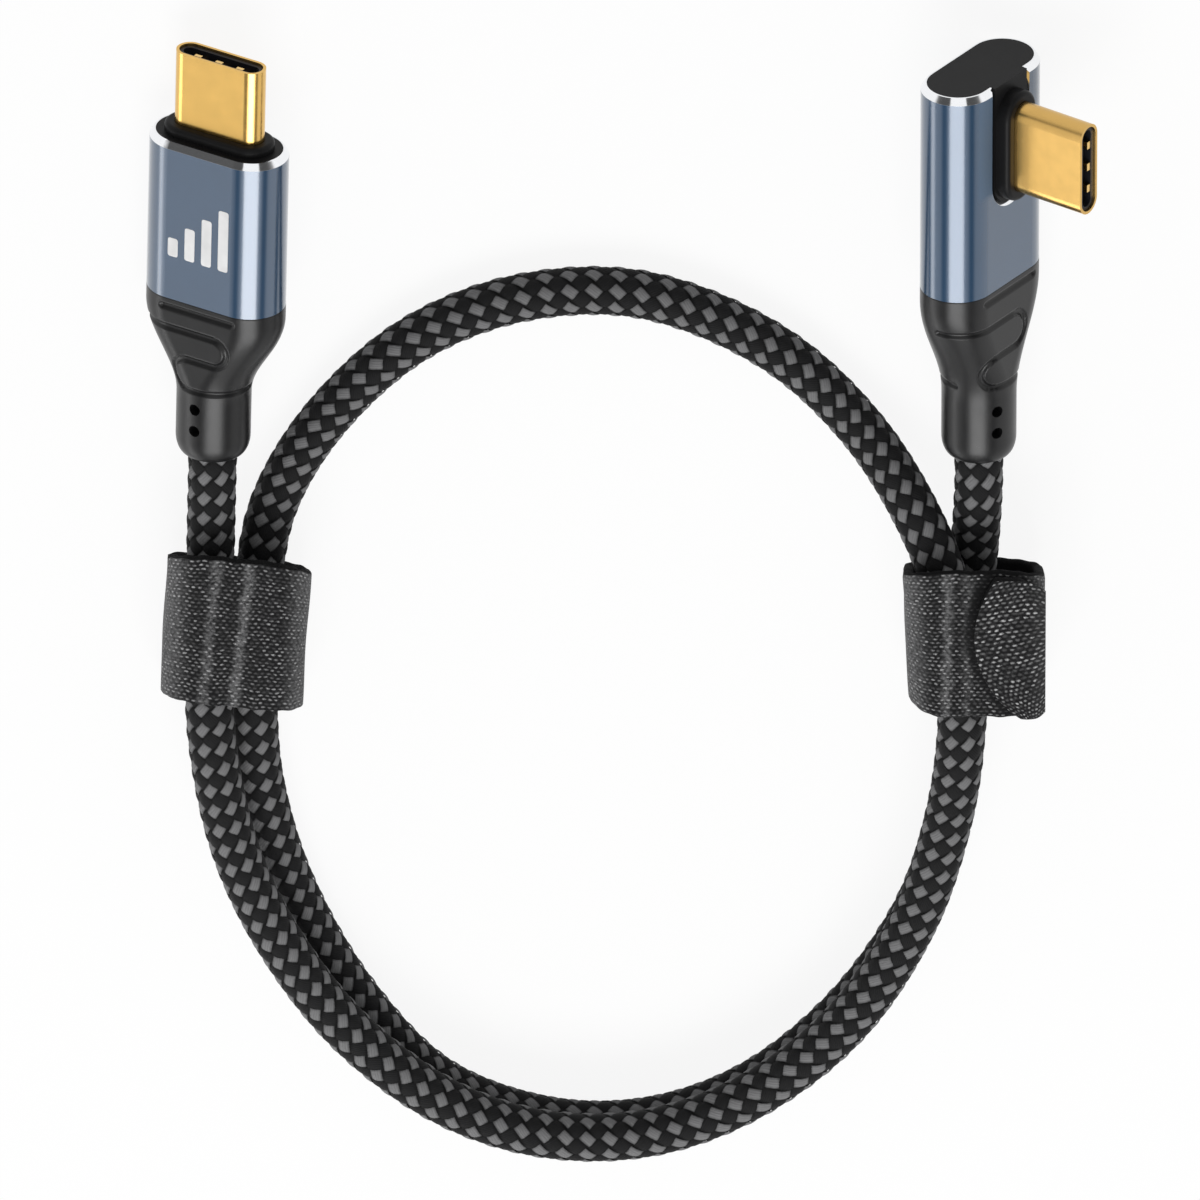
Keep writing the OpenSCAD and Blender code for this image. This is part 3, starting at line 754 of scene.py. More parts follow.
def make_piece(
    name: str,
    bm: bmesh.types.BMesh,
    material: bpy.types.Material,
    body: str,
    pose: Pose | None = None,
    smooth: bool = True,
) -> bpy.types.Object:
    """Turns a finished mesh, in millimetres, into a piece that rides on a body.

    Args:
        name: the piece's name.
        bm: its mesh, which is freed.
        material: its material.
        body: the body that it rides on.
        pose: the plug's pose, where the mesh is in a plug's own frame.
        smooth: whether its faces are shaded smooth.

    Returns:
        The piece.
    """
    if pose:
        bmesh.ops.transform(bm, matrix=pose.matrix(), verts=bm.verts)
    bmesh.ops.scale(bm, vec=(MM, MM, MM), verts=bm.verts)
    for face in bm.faces:
        face.smooth = smooth
    mesh = bpy.data.meshes.new(name)
    bm.to_mesh(mesh)
    bm.free()
    mesh.materials.append(material)
    piece = add_object(name, mesh)
    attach(piece, body)
    LOG.info("%s: %d faces on %s", name, len(mesh.polygons), body)
    return piece


def mapped_grid(
    bm: bmesh.types.BMesh,
    columns: int,
    rows: int,
    shape: Callable[[float, float], Vector],
    spread: tuple[float, float],
) -> None:
    """Adds a grid of faces and lays it on a surface.

    Args:
        bm: the mesh that it goes into.
        columns: faces along the first direction.
        rows: faces along the second direction.
        shape: the surface, from two numbers from 0 to 1 to a point.
        spread: the surface's size in both directions, for its UV map in millimetres.
    """
    layer = bm.loops.layers.uv.get(WEAVE) or bm.loops.layers.uv.new(WEAVE)
    made = bmesh.ops.create_grid(bm, x_segments=columns, y_segments=rows, size=0.5)
    verts = made["verts"]
    flat = {v: (v.co.x + 0.5, v.co.y + 0.5) for v in verts}
    for face in {f for v in verts for f in v.link_faces}:
        for loop in face.loops:
            u, v = flat[loop.vert]
            loop[layer].uv = (u * spread[0], v * spread[1])
    for vert, (u, v) in flat.items():
        vert.co = shape(u, v)


# ---- Studio ----------------------------------------------------------------------------


@dataclass
class Studio:
    """Camera, floor, lamps and surroundings."""

    target: tuple[float, float, float] = (-1.95, -22.4, 0.0)
    tilt: float = 29.0
    frame_width: float = 99.17
    lens: float = 1500.0
    sensor: float = 36.0
    fill: float = 0.45
    strip_depth: float = 0.92
    front_strip: tuple[float, float, float] = (0.56, 0.78, 0.06)
    back_strip: tuple[float, float, float] = (0.45, 0.96, 0.03)
    floor_glow: float = 0.9
    lamp_distance: float = 0.8

    def make_camera(self) -> None:
        """Makes a long-lens camera that looks down on the coil from the plugs' side."""
        distance = self.frame_width / 2 * self.lens / (self.sensor / 2) * MM
        data = bpy.data.cameras.new("camera")
        data.lens = self.lens
        data.sensor_width = self.sensor
        data.clip_start = 0.5
        data.clip_end = 12.0
        camera = add_object("camera", data)
        angle = math.radians(self.tilt)
        back = Vector((0.0, math.sin(angle), math.cos(angle)))
        camera.location = Vector(self.target) * MM + back * distance
        camera.rotation_euler = (-angle, 0.0, 0.0)
        bpy.context.scene.camera = camera

    def make_floor(self) -> None:
        """Makes a pale floor that keeps the object's shadow but shows as near white."""
        bm = bmesh.new()
        bmesh.ops.create_grid(bm, x_segments=4, y_segments=4, size=1.5)
        mesh = bpy.data.meshes.new("floor")
        bm.to_mesh(mesh)
        bm.free()
        floor = add_object("floor", mesh)
        shader = Shader("floor_card")
        grain = shader.noise(shader.place(), 0.5, 2.0)
        shader.dress(
            Base_Color=shader.mix(grain, (0.86, 0.86, 0.86), (0.9, 0.9, 0.9)), Roughness=0.6
        )
        seen = self.floor_glow * shader.most(*shader.rays())
        glow = shader.node("Emission", None, {"Color": WHITE, "Strength": 1.0})
        mixed = shader.node(
            "MixShader", None, {0: seen, 1: shader.surface.outputs[0], 2: glow.outputs[0]}
        )
        output = shader.tree.nodes["Material Output"]
        shader.feed(output.inputs["Surface"], mixed.outputs[0])
        mesh.materials.append(shader.material)

    def make_world(self) -> None:
        """Makes white surroundings with a dark strip each side of the overhead box.

        Plain surfaces are lit evenly; only reflections show the two dark strips.
        """
        world = bpy.data.worlds.new("surroundings")
        world.use_nodes = True
        nodes = Nodes(world.node_tree)
        x, y, z = nodes.axes(nodes.node("TexCoord").outputs["Generated"])
        aside = abs(x) / nodes.math("SQRT", x * x + z * z + 1e-6)
        front = nodes.band(aside, *self.front_strip)
        back = nodes.band(aside, *self.back_strip) * nodes.rise(y, 0.3, 0.5)
        strip = nodes.most(front, back) * nodes.rise(z, 0.0, 0.1)
        camera, mirror = nodes.rays()
        level = self.fill + (1.0 - self.fill) * nodes.most(camera, mirror)
        level = level * (1.0 - self.strip_depth * strip * mirror * (1.0 - camera))
        ground = world.node_tree.nodes["Background"]
        nodes.feed(ground.inputs["Color"], WHITE)
        nodes.feed(ground.inputs["Strength"], level)
        bpy.context.scene.world = world

    def add_lamp(
        self, name: str, direction: Sequence[float], size: tuple[float, float], power: float
    ) -> None:
        """Adds a soft box that faces the coil.

        Args:
            name: its name.
            direction: where it stands, seen from the coil.
            size: its width and height in metres.
            power: its power in watts.
        """
        data = bpy.data.lights.new(name, "AREA")
        data.shape = "RECTANGLE"
        data.size, data.size_y = size
        data.energy = power
        lamp = add_object(name, data)
        way = Vector(direction).normalized()
        lamp.location = Vector(self.target) * MM + way * self.lamp_distance
        lamp.rotation_euler = way.to_track_quat("Z", "Y").to_euler()
        lamp.visible_camera = False

    def build(self) -> None:
        """Makes the whole studio."""
        self.make_camera()
        self.make_floor()
        self.make_world()
        self.add_lamp("overhead_box", (-0.03, -0.485, 0.875), (0.58, 0.45), 4.4)
        self.add_lamp("left_strip", (-0.87, -0.48, 0.11), (0.8, 0.2), 1.2)
        bpy.context.scene.view_settings.view_transform = "Standard"


# ---- Cord ------------------------------------------------------------------------------


def reaches(points: Sequence[Vector]) -> list[float]:
    """How far along a line each of its points is."""
    return list(accumulate(((b - a).length for a, b in zip(points, points[1:])), initial=0.0))


class Route:
    """Smooth line through the cord's points, with a steady frame along it."""

    def __init__(self, points: Sequence[tuple[float, float, float]], per_span: int = 24) -> None:
        """Samples the line.

        Args:
            points: the points that the line goes through.
            per_span: samples between two points.
        """
        knots = [Vector(p) for p in points]
        knots = [2 * knots[0] - knots[1], *knots, 2 * knots[-1] - knots[-2]]
        line = [
            self.between(knots[i : i + 4], k / per_span)
            for i in range(len(knots) - 3)
            for k in range(per_span)
        ]
        line.append(knots[-2])
        reach = reaches(line)
        self.length = reach[-1]
        self.count = len(line) - 1
        self.pace = self.length / self.count
        self.spots: list[Vector] = []
        i = 0
        for k in range(self.count + 1):
            want = min(k * self.pace, self.length)
            while i < self.count - 1 and reach[i + 1] < want:
                i += 1
            part = (want - reach[i]) / (reach[i + 1] - reach[i])
            self.spots.append(line[i].lerp(line[i + 1], part))
        self.carry_frame()

    @staticmethod
    def between(four: Sequence[Vector], t: float) -> Vector:
        """Finds a point of a smooth curve between the second and the third of four points.

        Args:
            four: the points.
            t: share of the way from the second to the third.

        Returns:
            The point.
        """
        a, b, c, d = four
        return 0.5 * (
            2 * b
            + (c - a) * t
            + (2 * a - 5 * b + 4 * c - d) * t**2
            + (3 * b - a - 3 * c + d) * t**3
        )

    def carry_frame(self) -> None:
        """Carries one side direction along the line without twisting it."""
        last = self.count
        ways = [
            (self.spots[min(k + 1, last)] - self.spots[max(k - 1, 0)]).normalized()
            for k in range(last + 1)
        ]
        side = Vector((0, 0, 1))
        side = (side - side.dot(ways[0]) * ways[0]).normalized()
        self.sides = [side]
        self.overs = [ways[0].cross(side)]
        for a, b in zip(ways, ways[1:]):
            side = a.rotation_difference(b) @ side
            side = (side - side.dot(b) * b).normalized()
            self.sides.append(side)
            self.overs.append(b.cross(side))

    def skin(self, s: float, angle: float, radius: float) -> Vector:
        """A point on a round skin about the line.

        Args:
            s: distance along the line.
            angle: turn about the line, in radians.
            radius: distance from the line.

        Returns:
            The point.
        """
        f = min(max(s / self.pace, 0.0), self.count - 1e-6)
        i = int(f)
        t = f - i
        centre = self.spots[i].lerp(self.spots[i + 1], t)
        side = self.sides[i].lerp(self.sides[i + 1], t)
        over = self.overs[i].lerp(self.overs[i + 1], t)
        return centre + radius * (math.cos(angle) * side + math.sin(angle) * over)


CORD_POINTS = (
    (-33.85, -5.5, 4.6966), (-34.05, -14, 4.85), (-34.2, -23, 6.3), (-34, -32, 6.6),
    (-32.2, -42, 6.6), (-28.5, -51, 6.6), (-22.7, -59.6, 6.6), (-15, -66.2, 6.6),
    (-6.5, -69.4, 6.6), (2.5, -69.2, 6.6), (11, -65.5, 6.6), (18.6, -58.6, 6.6),
    (24, -49.2, 6.6), (26.8, -39.5, 6.9), (27.9, -30, 7.7), (27.35, -20.9, 7.9),
    (25, -12.9, 6.2), (19.75, -4.85, 2.8), (12.15, 2.65, 2.1), (2, 7.4, 2.1),
    (-8, 7.3, 2.1), (-17, 3.5, 2.1), (-24.2, -3.6, 2.1), (-28.8, -11.8, 2.5),
    (-30.3, -20.5, 3.3), (-30.6, -29.5, 3.3), (-30, -38.5, 2.7), (-27.4, -48.5, 2.1),
    (-22.4, -58.5, 2.1), (-15.5, -66.7, 2.1), (-6.5, -70.6, 2.1), (2.5, -70.6, 2.1),
    (11, -67, 2.1), (18.5, -60, 2.1), (24.1, -51, 2.1), (26.9, -42, 2.1),
    (28, -32.5, 2.9), (28.4, -22, 3.4), (29, -14.4, 4), (29.25, -8.6, 5.408),
    (29.25, -5.1, 5.608),
)


class Hand(Enum):
    """Which way a yarn winds round the cord."""

    RIGHT = 1
    LEFT = -1


@dataclass(frozen=True)
class Yarn:
    """One family of eight yarns that wind the same way."""

    name: str
    hand: Hand
    half_width: float
    crown: float
    lift: float
    wave: float
    finish: BraidYarn
    across: int = 4


YARNS = (
    Yarn(
        "cord_grey_yarns",
        Hand.RIGHT,
        half_width=0.47,
        crown=0.085,
        lift=0.02,
        wave=0.10,
        finish=BraidYarn("braid_grey", (0.178, 0.178, 0.181), 5.0, 0.32, 0.25),
    ),
    Yarn(
        "cord_black_yarns",
        Hand.LEFT,
        half_width=0.64,
        crown=0.08,
        lift=0.015,
        wave=0.09,
        finish=BraidYarn("braid_black", (0.0125, 0.0125, 0.0130), 6.0, 0.45, 0.5, math.pi),
    ),
)


@dataclass
class BraidedCord:
    """Black cord under a plain weave of grey and black yarns."""

    diameter: float = 4.0
    lead: float = 15.2
    carriers: int = 8
    middle: float = 1.93
    core_radius: float = 1.8
    core_spans: int = 480
    steps_per_pick: int = 5
    start_turn: float = 0.35
    flatness: float = 1.2

    def slope(self) -> float:
        """Angle between a yarn and the cord."""
        return math.atan2(math.tau * self.middle, self.lead)

    def weave(self, route: Route, yarn: Yarn) -> bpy.types.Object:
        """Weaves one family of yarns round the cord.

        Args:
            route: the cord's line.
            yarn: the family.

        Returns:
            The piece.
        """
        bm = bmesh.new()
        hand = yarn.hand.value
        slope = self.slope()
        picks = route.length / self.lead * 2 * self.carriers
        columns = round(picks * self.steps_per_pick)
        run = route.length / math.cos(slope)

        def lay(turn: float) -> Callable[[float, float], Vector]:
            """Starts one yarn.

            Args:
                turn: where it starts round the cord, in radians.

            Returns:
                Its surface.
            """

            def shape(u: float, v: float) -> Vector:
                """Lays a point of the yarn.

                Args:
                    u: share of the cord's length.
                    v: share of the yarn's width.

                Returns:
                    The point.
                """
                s = u * route.length
                aside = 1 - 2 * v
                rise = math.cos(math.tau * self.carriers * s / self.lead)
                rise = hand * math.tanh(self.flatness * rise) / math.tanh(self.flatness)
                radius = self.middle + yarn.lift + yarn.wave * rise - yarn.crown * aside**2
                shift = aside * yarn.half_width
                angle = turn + hand * math.tau * s / self.lead
                angle += math.cos(slope) * shift / self.middle
                return route.skin(s - hand * math.sin(slope) * shift, angle, radius)

            return shape

        for k in range(self.carriers):
            turn = self.start_turn + math.tau * k / self.carriers
            mapped_grid(bm, columns, yarn.across, lay(turn), (run, 2 * yarn.half_width))
        period = self.lead / self.carriers / math.cos(slope)
        finish = replace(yarn.finish, half_width=yarn.half_width, period=period)
        return make_piece(yarn.name, bm, finish.material(), "cable")

    def core(self, route: Route, material: bpy.types.Material) -> bpy.types.Object:
        """Makes the smooth inner cord that shows between the yarns.

        Args:
            route: the cord's line.
            material: its finish.

        Returns:
            The piece, a curve of one open spline.
        """
        curve = bpy.data.curves.new("cord_core", "CURVE")
        curve.dimensions = "3D"
        curve.bevel_depth = self.core_radius * MM
        curve.bevel_resolution = 3
        curve.use_fill_caps = True
        step = route.length / self.core_spans
        spots = [route.skin(k * step, 0.0, 0.0) for k in range(self.core_spans + 1)]
        spline = curve.splines.new("POLY")
        spline.points.add(len(spots) - 1)
        for point, spot in zip(spline.points, spots):
            point.co = (*(spot * MM), 1.0)
        curve.materials.append(material)
        piece = add_object("cord_core", curve)
        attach(piece, "cable")
        return piece

    def build(self) -> None:
        route = Route(CORD_POINTS)
        dark = MouldedPlastic("cord_under_braid", (0.006, 0.006, 0.006), 0.8, gloss=0.1)
        core = self.core(route, dark.material())
        yarns = [self.weave(route, yarn) for yarn in YARNS]
        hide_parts("cord")
        LOG.info("cord: %.1f mm", route.length)


# ---- Straps ----------------------------------------------------------------------------


def rounded_loop(
    corners: Sequence[tuple[float, float, float]], steps: int = 8
) -> list[tuple[float, float]]:
    """A closed outline with rounded corners.

    Args:
        corners: (x, z, radius) of each corner, in order.
        steps: points on each corner's arc, less one.

    Returns:
        The outline's points.
    """
    outline = []
    total = len(corners)
    for i, (x, z, radius) in enumerate(corners):
        here = Vector((x, z))
        back = (Vector(corners[i - 1][:2]) - here).normalized()
        ahead = (Vector(corners[(i + 1) % total][:2]) - here).normalized()
        half = back.angle(ahead) / 2
        reach = radius / math.tan(half)
        centre = here + (back + ahead).normalized() * radius / math.sin(half)
        start = here + back * reach - centre
        turn = (here + ahead * reach - centre).angle_signed(start)
        for k in range(steps + 1):
            angle = turn * k / steps
            outline.append(
                (
                    centre.x + start.x * math.cos(angle) - start.y * math.sin(angle),
                    centre.y + start.x * math.sin(angle) + start.y * math.cos(angle),
                )
            )
    return outline


class Outline:
    """A closed outline that is read by the share of its length."""

    def __init__(self, points: Sequence[tuple[float, float]]) -> None:
        """Measures the outline.

        Args:
            points: its points in order.
        """
        self.points = [Vector(p) for p in points] + [Vector(points[0])]
        self.reach = reaches(self.points)

    def at(self, share: float) -> Vector:
        """Finds a point of the outline.

        Args:
            share: its share of the outline's length, where 1 is once round.

        Returns:
            The point.
        """
        want = (share % 1.0) * self.reach[-1]
        for i in range(len(self.points) - 1):
            if self.reach[i + 1] >= want:
                part = (want - self.reach[i]) / max(self.reach[i + 1] - self.reach[i], 1e-9)
                return self.points[i].lerp(self.points[i + 1], part)
        return self.points[-1]


def make_cloth(
    name: str,
    bm: bmesh.types.BMesh,
    finishes: tuple[Finish, Finish],
    body: str,
    pose: Pose,
    thickness: float,
    soft_edge: float,
    middle: float = 0.0,
) -> bpy.types.Object:
    """Turns one face of a strap, in millimetres, into cloth with a hook side and soft edges.

    Args:
        name: the piece's name.
        bm: the face that looks out, which is freed.
        finishes: the loop side's finish, and that of the hook side and the cut edges.
        body: the body that it rides on.
        pose: where the strap lies.
        thickness: the cloth's thickness.
        soft_edge: how far its edges are rounded.
        middle: the height above which the face looks up, and below which it looks down.

    Returns:
        The piece.
    """
    bmesh.ops.recalc_face_normals(bm, faces=bm.faces)
    if sum(f.normal.z * (f.calc_center_median().z - middle) for f in bm.faces) < 0:
        bmesh.ops.reverse_faces(bm, faces=bm.faces)
    loops, hooks = finishes
    piece = make_piece(name, bm, loops.material(), body, pose)
    piece.data.materials.append(hooks.material())
    wall = piece.modifiers.new("wall", "SOLIDIFY")
    wall.thickness = thickness * MM
    wall.offset = -1.0
    wall.material_offset = 1
    wall.material_offset_rim = 1
    soft = piece.modifiers.new("soft_edges", "BEVEL")
    soft.width = soft_edge * MM
    soft.segments = 2
    soft.limit_method = "ANGLE"
    soft.angle_limit = math.radians(55)
    return piece


@dataclass
class Strap:
    """A hook-and-loop strap wrapped round two runs of the cord."""

    side: str
    x: float
    front: float
    height: float
    turn: float
    corners: tuple[tuple[float, float, float], ...]
    trims: tuple[tuple[float, float], tuple[float, float]]
    leans: tuple[float, float] = (0.0, 0.0)
    tilt: float = 0.0
    flat_half: float = 3.0
    bend_reach: float = 3.0
    length: float = STRAP_WIDTH
    skew: float = 4.5
    thickness: float = 0.8
    inset: float = 0.12
    ripple: float = 0.06
    fray: tuple[float, float] = (0.05, 0.04)
    grid: tuple[int, int] = (120, 24)

    def pose(self) -> Pose:
        """Where the strap lies."""
        return Pose((self.x, self.front, 0.0), 0.0, self.turn)

    def build(self, fabric: Finish) -> bpy.types.Object:
        """Makes the strap's loop.

        Args:
            fabric: its finish.

        Returns:
            The piece.
        """
        outline = Outline(rounded_loop(self.corners))
        bm = bmesh.new()

        def shape(u: float, v: float) -> Vector:
            """Lays a point of the loop's outer side.

            Args:
                u: share of the way round.
                v: share of the strap's width, from its front edge.

            Returns:
                The point.
            """
            spot = outline.at(u)
            edge = self.skew * (1 - spot.y / self.height)
            inward = (Vector((0.0, self.height / 2)) - spot).normalized()
            turn = math.tau * u
            spot = spot + inward * (self.inset + self.ripple * math.sin(7 * v + 3 * turn))
            side = 1 if spot.x > 0 else 0
            front, back = self.trims[side]
            past = max(abs(spot.x) - self.flat_half, 0.0)
            bend = min(past / self.bend_reach, 1.0) ** 2
            edge += self.tilt * (spot.x + 2 * self.flat_half)
            spot.x *= 1 - self.leans[side] * v
            y = -edge - front * bend - v * (self.length - (front + back) * bend)
            fray = self.fray[0] * math.sin(10 * turn) + self.fray[1] * math.sin(23 * turn + 1)
            return Vector((spot.x, y + fray * (2 * v - 1), spot.y))

        mapped_grid(bm, *self.grid, shape, (outline.reach[-1], self.length))
        bmesh.ops.remove_doubles(bm, verts=bm.verts, dist=0.001)
        piece = make_cloth(
            f"{self.side}_strap_loop",
            bm,
            (fabric, HookFabric(f"{self.side}_hooks")),
            "cable",
            self.pose(),
            self.thickness,
            soft_edge=0.3,
            middle=self.height / 2,
        )
        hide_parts(f"{self.side}_strap")
        return piece


@dataclass
class StrapTab:
    """Free end of a strap, with a round tip, that lies on or under its loop."""

    side: str
    strap: Strap
    fold: tuple[float, float]
    length: float
    thickness: float
    way: int
    droop: float
    bow: float
    middle: float
    back: float = 0.0
    bend_reach: float = 2.4
    rounding: float = 1.3
    low_rounding: tuple[float, float] = (0.35, 0.9)
    trim: tuple[float, float] = (0.0, 0.0)
    grid: tuple[int, int] = (36, 44)

    def build(self, fabric: Finish) -> bpy.types.Object:
        """Makes the tab.

        Args:
            fabric: its finish.

        Returns:
            The piece.
        """
        bm = bmesh.new()
        half = self.strap.length / 2
        x0, z0 = self.fold

        def shape(u: float, v: float) -> Vector:
            """Lays a point of the tab's outer side.

            Args:
                u: share of the tab's length, from its fold.
                v: share of its width, from its back edge.

            Returns:
                The point.
            """
            aside = 2 * v - 1
            along = u * (self.length - self.bow * (aside - self.middle) ** 2)
            bend = max(0.0, 1 - along / self.bend_reach) ** 2
            share, reach = self.low_rounding
            corner = bend if aside > 0 else share * max(0.0, 1 - along / reach) ** 2
            fall = self.droop * bend
            set_back = self.strap.skew * fall / self.strap.height
            cut = (self.trim[0] + self.trim[1] * u**3) * max(0.0, -aside) ** 3
            y = self.back - half - set_back + aside * (half - cut - self.rounding * corner)
            return Vector((x0 + self.way * along, y, z0 - fall))

        mapped_grid(bm, *self.grid, shape, (self.length, self.strap.length))
        piece = make_cloth(
            f"{self.side}_strap_tab",
            bm,
            (fabric, HookFabric(f"{self.side}_tab_hooks")),
            f"{self.side}_tab",
            self.strap.pose(),
            self.thickness,
            soft_edge=0.25,
        )
        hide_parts(f"{self.side}_tab")
        return piece


class Straps:
    """Both straps with their tabs."""

    def build(self) -> None:
        """Makes the straps and their tabs."""
        right = Strap(
            "right",
            x=28.85,
            front=-13.75,
            height=11.3,
            turn=0.0,
            corners=((5.95, 0, 3), (5.95, 11.3, 3), (-5.95, 11.3, 3), (-5.95, 0, 3)),
            trims=((0.4, 1.6), (0.5, 1.0)),
            leans=(0.09, 0.0),
        )
        left = Strap(
            "left",
            x=-31.55,
            front=-13.25,
            height=9.7,
            turn=math.radians(-3),
            corners=(
                (6.05, 0, 3), (6.05, 9.7, 3), (-6.05, 9.7, 3),
                (-6.05, 1.5, 1.2), (-2.05, 1.5, 0.7), (-0.85, 0, 0.7),
            ),
            trims=((0.35, 0.7), (0.5, 0.7)),
            leans=(0.0, 0.02),
            tilt=0.065,
        )
        right_loop = right.build(
            StrapFabric(
                "right_strap_fabric",
                ridges=((19.8, 0.03, 0.30), (18.2, 0.0, 0.14)),
                bend_sheen=(14.7, 20.6),
                shadow=(17.7, 2.68, 0.2),
            )
        )
        left_loop = left.build(
            StrapFabric(
                "left_strap_fabric",
                ridges=((18.1, 0.045, 0.26), (15.3, 0.06, 0.34)),
                bend_sheen=(13.1, 19.2),
            )
        )
        right_tab = StrapTab(
            "right",
            right,
            fold=(5.95, 12.45),
            length=5.9,
            thickness=0.75,
            way=-1,
            droop=2.6,
            bow=2.68,
            middle=0.2,
            trim=(0.45, 0.15),
        ).build(
            StrapFabric(
                "right_tab_fabric", loops=(0.6, 0.6, 0.605), slant=math.radians(10), size=1.15
            )
        )
        left_tab = StrapTab(
            "left",
            left,
            fold=(-5.45, 1.18),
            length=4.4,
            thickness=0.8,
            way=1,
            droop=-0.3,
            bow=3.0,
            middle=0.0,
            back=-4.5,
        ).build(StrapFabric("left_tab_fabric"))


# ---- Boots -----------------------------------------------------------------------------


Ring = tuple[float, float, float]


@dataclass
class Boot:
    """Strain relief between a sleeve and the cord, with an S-shaped groove on each broad side.

    Its closed shell is laid on rings: height along the cord, half flat and radius of each.
    """

    side: str
    pose: Pose
    length: float
    rows: tuple[float, float, float]
    turns: tuple[float, float]
    ends: tuple[float, float]
    vent_turn: float = 0.0
    half_flat: float = 3.1
    radius: float = 3.1
    exit_radius: float = 2.35
    exit_round: float = 1.6
    neck_end: float = 5.6
    full: float = 1.2
    bore: float = 2.03
    spigot: float = 1.45
    spigot_radius: float = 2.55
    groove: float = 0.28
    groove_margin: float = 0.4
    top_reach: float = 3.3
    top_setback: float = 0.8
    vents: tuple[float, float] = (3.0, 5.0)
    vent_radius: float = 0.5
    vent_depth: float = 0.95
    vent_taper: float = 0.99
    pace: float = 0.115
    lip: float = 0.03
    crease: float = 0.6
    columns: int = 280
    spread: tuple[float, float] = (30.0, 30.0)

    def skin_rings(self) -> list[Ring]:
        """Makes the rings of the skin.

        Returns:
            The rings, from the cord up to the sleeve.
        """
        rings = []
        for k in range(10):
            part = 1 - math.cos(math.pi / 2 * k / 10)
            lost = (self.radius - self.exit_radius) * (1 - math.sqrt(1 - (1 - part) ** 2))
            rings.append((self.exit_round * part, 0.0, self.radius - lost))
        straight = self.length - self.lip - self.exit_round
        steps = round(straight / self.pace)
        for k in range(steps + 1):
            y = self.exit_round + straight * k / steps
            share = (y - self.neck_end) / (self.length - self.full - self.neck_end)
            share = min(max(share, 0.0), 1.0)
            rings.append((y, self.half_flat * (1 - math.cos(math.pi * share)) / 2, self.radius))
        return rings

    def inner_rings(self) -> list[Ring]:
        """Makes the rings that close the shell.

        Returns:
            The rings, in under the sleeve and back down the bore.
        """
        lip, inner, flat = self.lip, self.spigot_radius, self.half_flat
        top = self.length + self.spigot
        return [
            (self.length, flat, self.radius - lip),
            (self.length, flat, inner + lip),
            (self.length, flat, inner),
            (self.length + lip, flat, inner),
            (top - lip, flat, inner),
            (top, flat, inner - lip),
            (top, 0.0, self.bore + lip),
            (top, 0.0, self.bore),
            (top - lip, 0.0, self.bore),
            (lip, 0.0, self.bore),
            (0.0, 0.0, self.bore + lip),
            (0.0, 0.0, self.exit_radius - lip),
        ]

    def groove_lines(self) -> list[list[Vector]]:
        """Lines of the two grooves of a broad side, unrolled.

        Returns:
            The S-shaped one and the straight one below the sleeve.
        """

        def arc(x: float, above: float, below: float, way: int) -> list[Vector]:
            """Half a turn from one row down to the next.

            Args:
                x: where the turn starts.
                above: height of the upper row.
                below: height of the lower row.
                way: 1 for a turn to the right and -1 for one to the left.

            Returns:
                Its points, without its ends.
            """
            r, y = (above - below) / 2, (above + below) / 2
            angles = [math.pi * (0.5 - way * k / 12) for k in range(1, 12)]
            return [Vector((x + r * math.cos(a), y + r * math.sin(a))) for a in angles]

        high, mid, low = self.rows
        right, left = self.turns
        top = self.length - self.top_setback
        line = [Vector((self.ends[0], high)), Vector((right, high)), *arc(right, high, mid, 1)]
        line += [Vector((right, mid)), Vector((left, mid)), *arc(left, mid, low, -1)]
        line += [Vector((left, low)), Vector((self.ends[1], low))]
        return [line, [Vector((-self.top_reach, top)), Vector((self.top_reach, top))]]

    @staticmethod
    def nearest(line: Sequence[Vector], spot: Vector) -> float:
        """Measures how far a spot is from a line.

        Args:
            line: the line's points.
            spot: the spot.

        Returns:
            The distance.
        """
        best = math.inf
        for a, b in zip(line, line[1:]):
            run = b - a
            t = min(max((spot - a).dot(run) / run.length_squared, 0.0), 1.0)
            best = min(best, (spot - a - t * run).length)
        return best

    def sink(self, lines: list[list[Vector]], round_way: float, y: float, around: float) -> float:
        """How deep the grooves cut at a point of the skin.

        Args:
            lines: the grooves' lines.
            round_way: distance round the boot from the middle of the upper side.
            y: height along the cord.
            around: length of the ring there.

        Returns:
            The depth.
        """
        half = around / 2
        if abs(round_way) > half / 2:
            round_way += -half if round_way > 0 else half
        depth = 0.0
        for shift in (0.0, half, -half):
            spot = Vector((round_way + shift, y))
            for line in lines:
                gap = self.nearest(line, spot) / self.groove
                if gap < 1.0:
                    depth = max(depth, self.groove * math.sqrt(1 - gap**2))
        return depth

    def pierce(self, spot: Vector, vent: float) -> Vector:
        """Moves a point of the neck to the wall or the bottom of a vent.

        Args:
            spot: the point.
            vent: the vent's height along the cord.

        Returns:
            The point, moved where it lies at the vent.
        """
        cos, sin = math.cos(self.vent_turn), math.sin(self.vent_turn)
        across = spot.x * cos - spot.z * sin
        up = spot.x * sin + spot.z * cos
        gap = math.hypot(spot.y - vent, across)
        inside = self.vent_radius - self.pace / 2
        if gap > self.vent_radius + self.pace / 2:
            return spot
        if gap > inside:
            share, sunk = self.vent_radius / gap, 0.0
        else:
            share, sunk = self.vent_radius / inside * self.vent_taper, self.vent_depth
        across *= share
        y = vent + (spot.y - vent) * share
        up = math.copysign(math.sqrt(self.radius**2 - across**2) - sunk, up)
        return Vector((across * cos + up * sin, y, up * cos - across * sin))

    def build(self) -> bpy.types.Object:
        """Makes the boot.

        Returns:
            The piece.
        """
        skin = self.skin_rings()
        rings = skin + self.inner_rings() + skin[:1]
        lines = self.groove_lines()
        low, high = self.rows[2] - self.groove_margin, self.length - self.groove_margin / 2
        bm = bmesh.new()

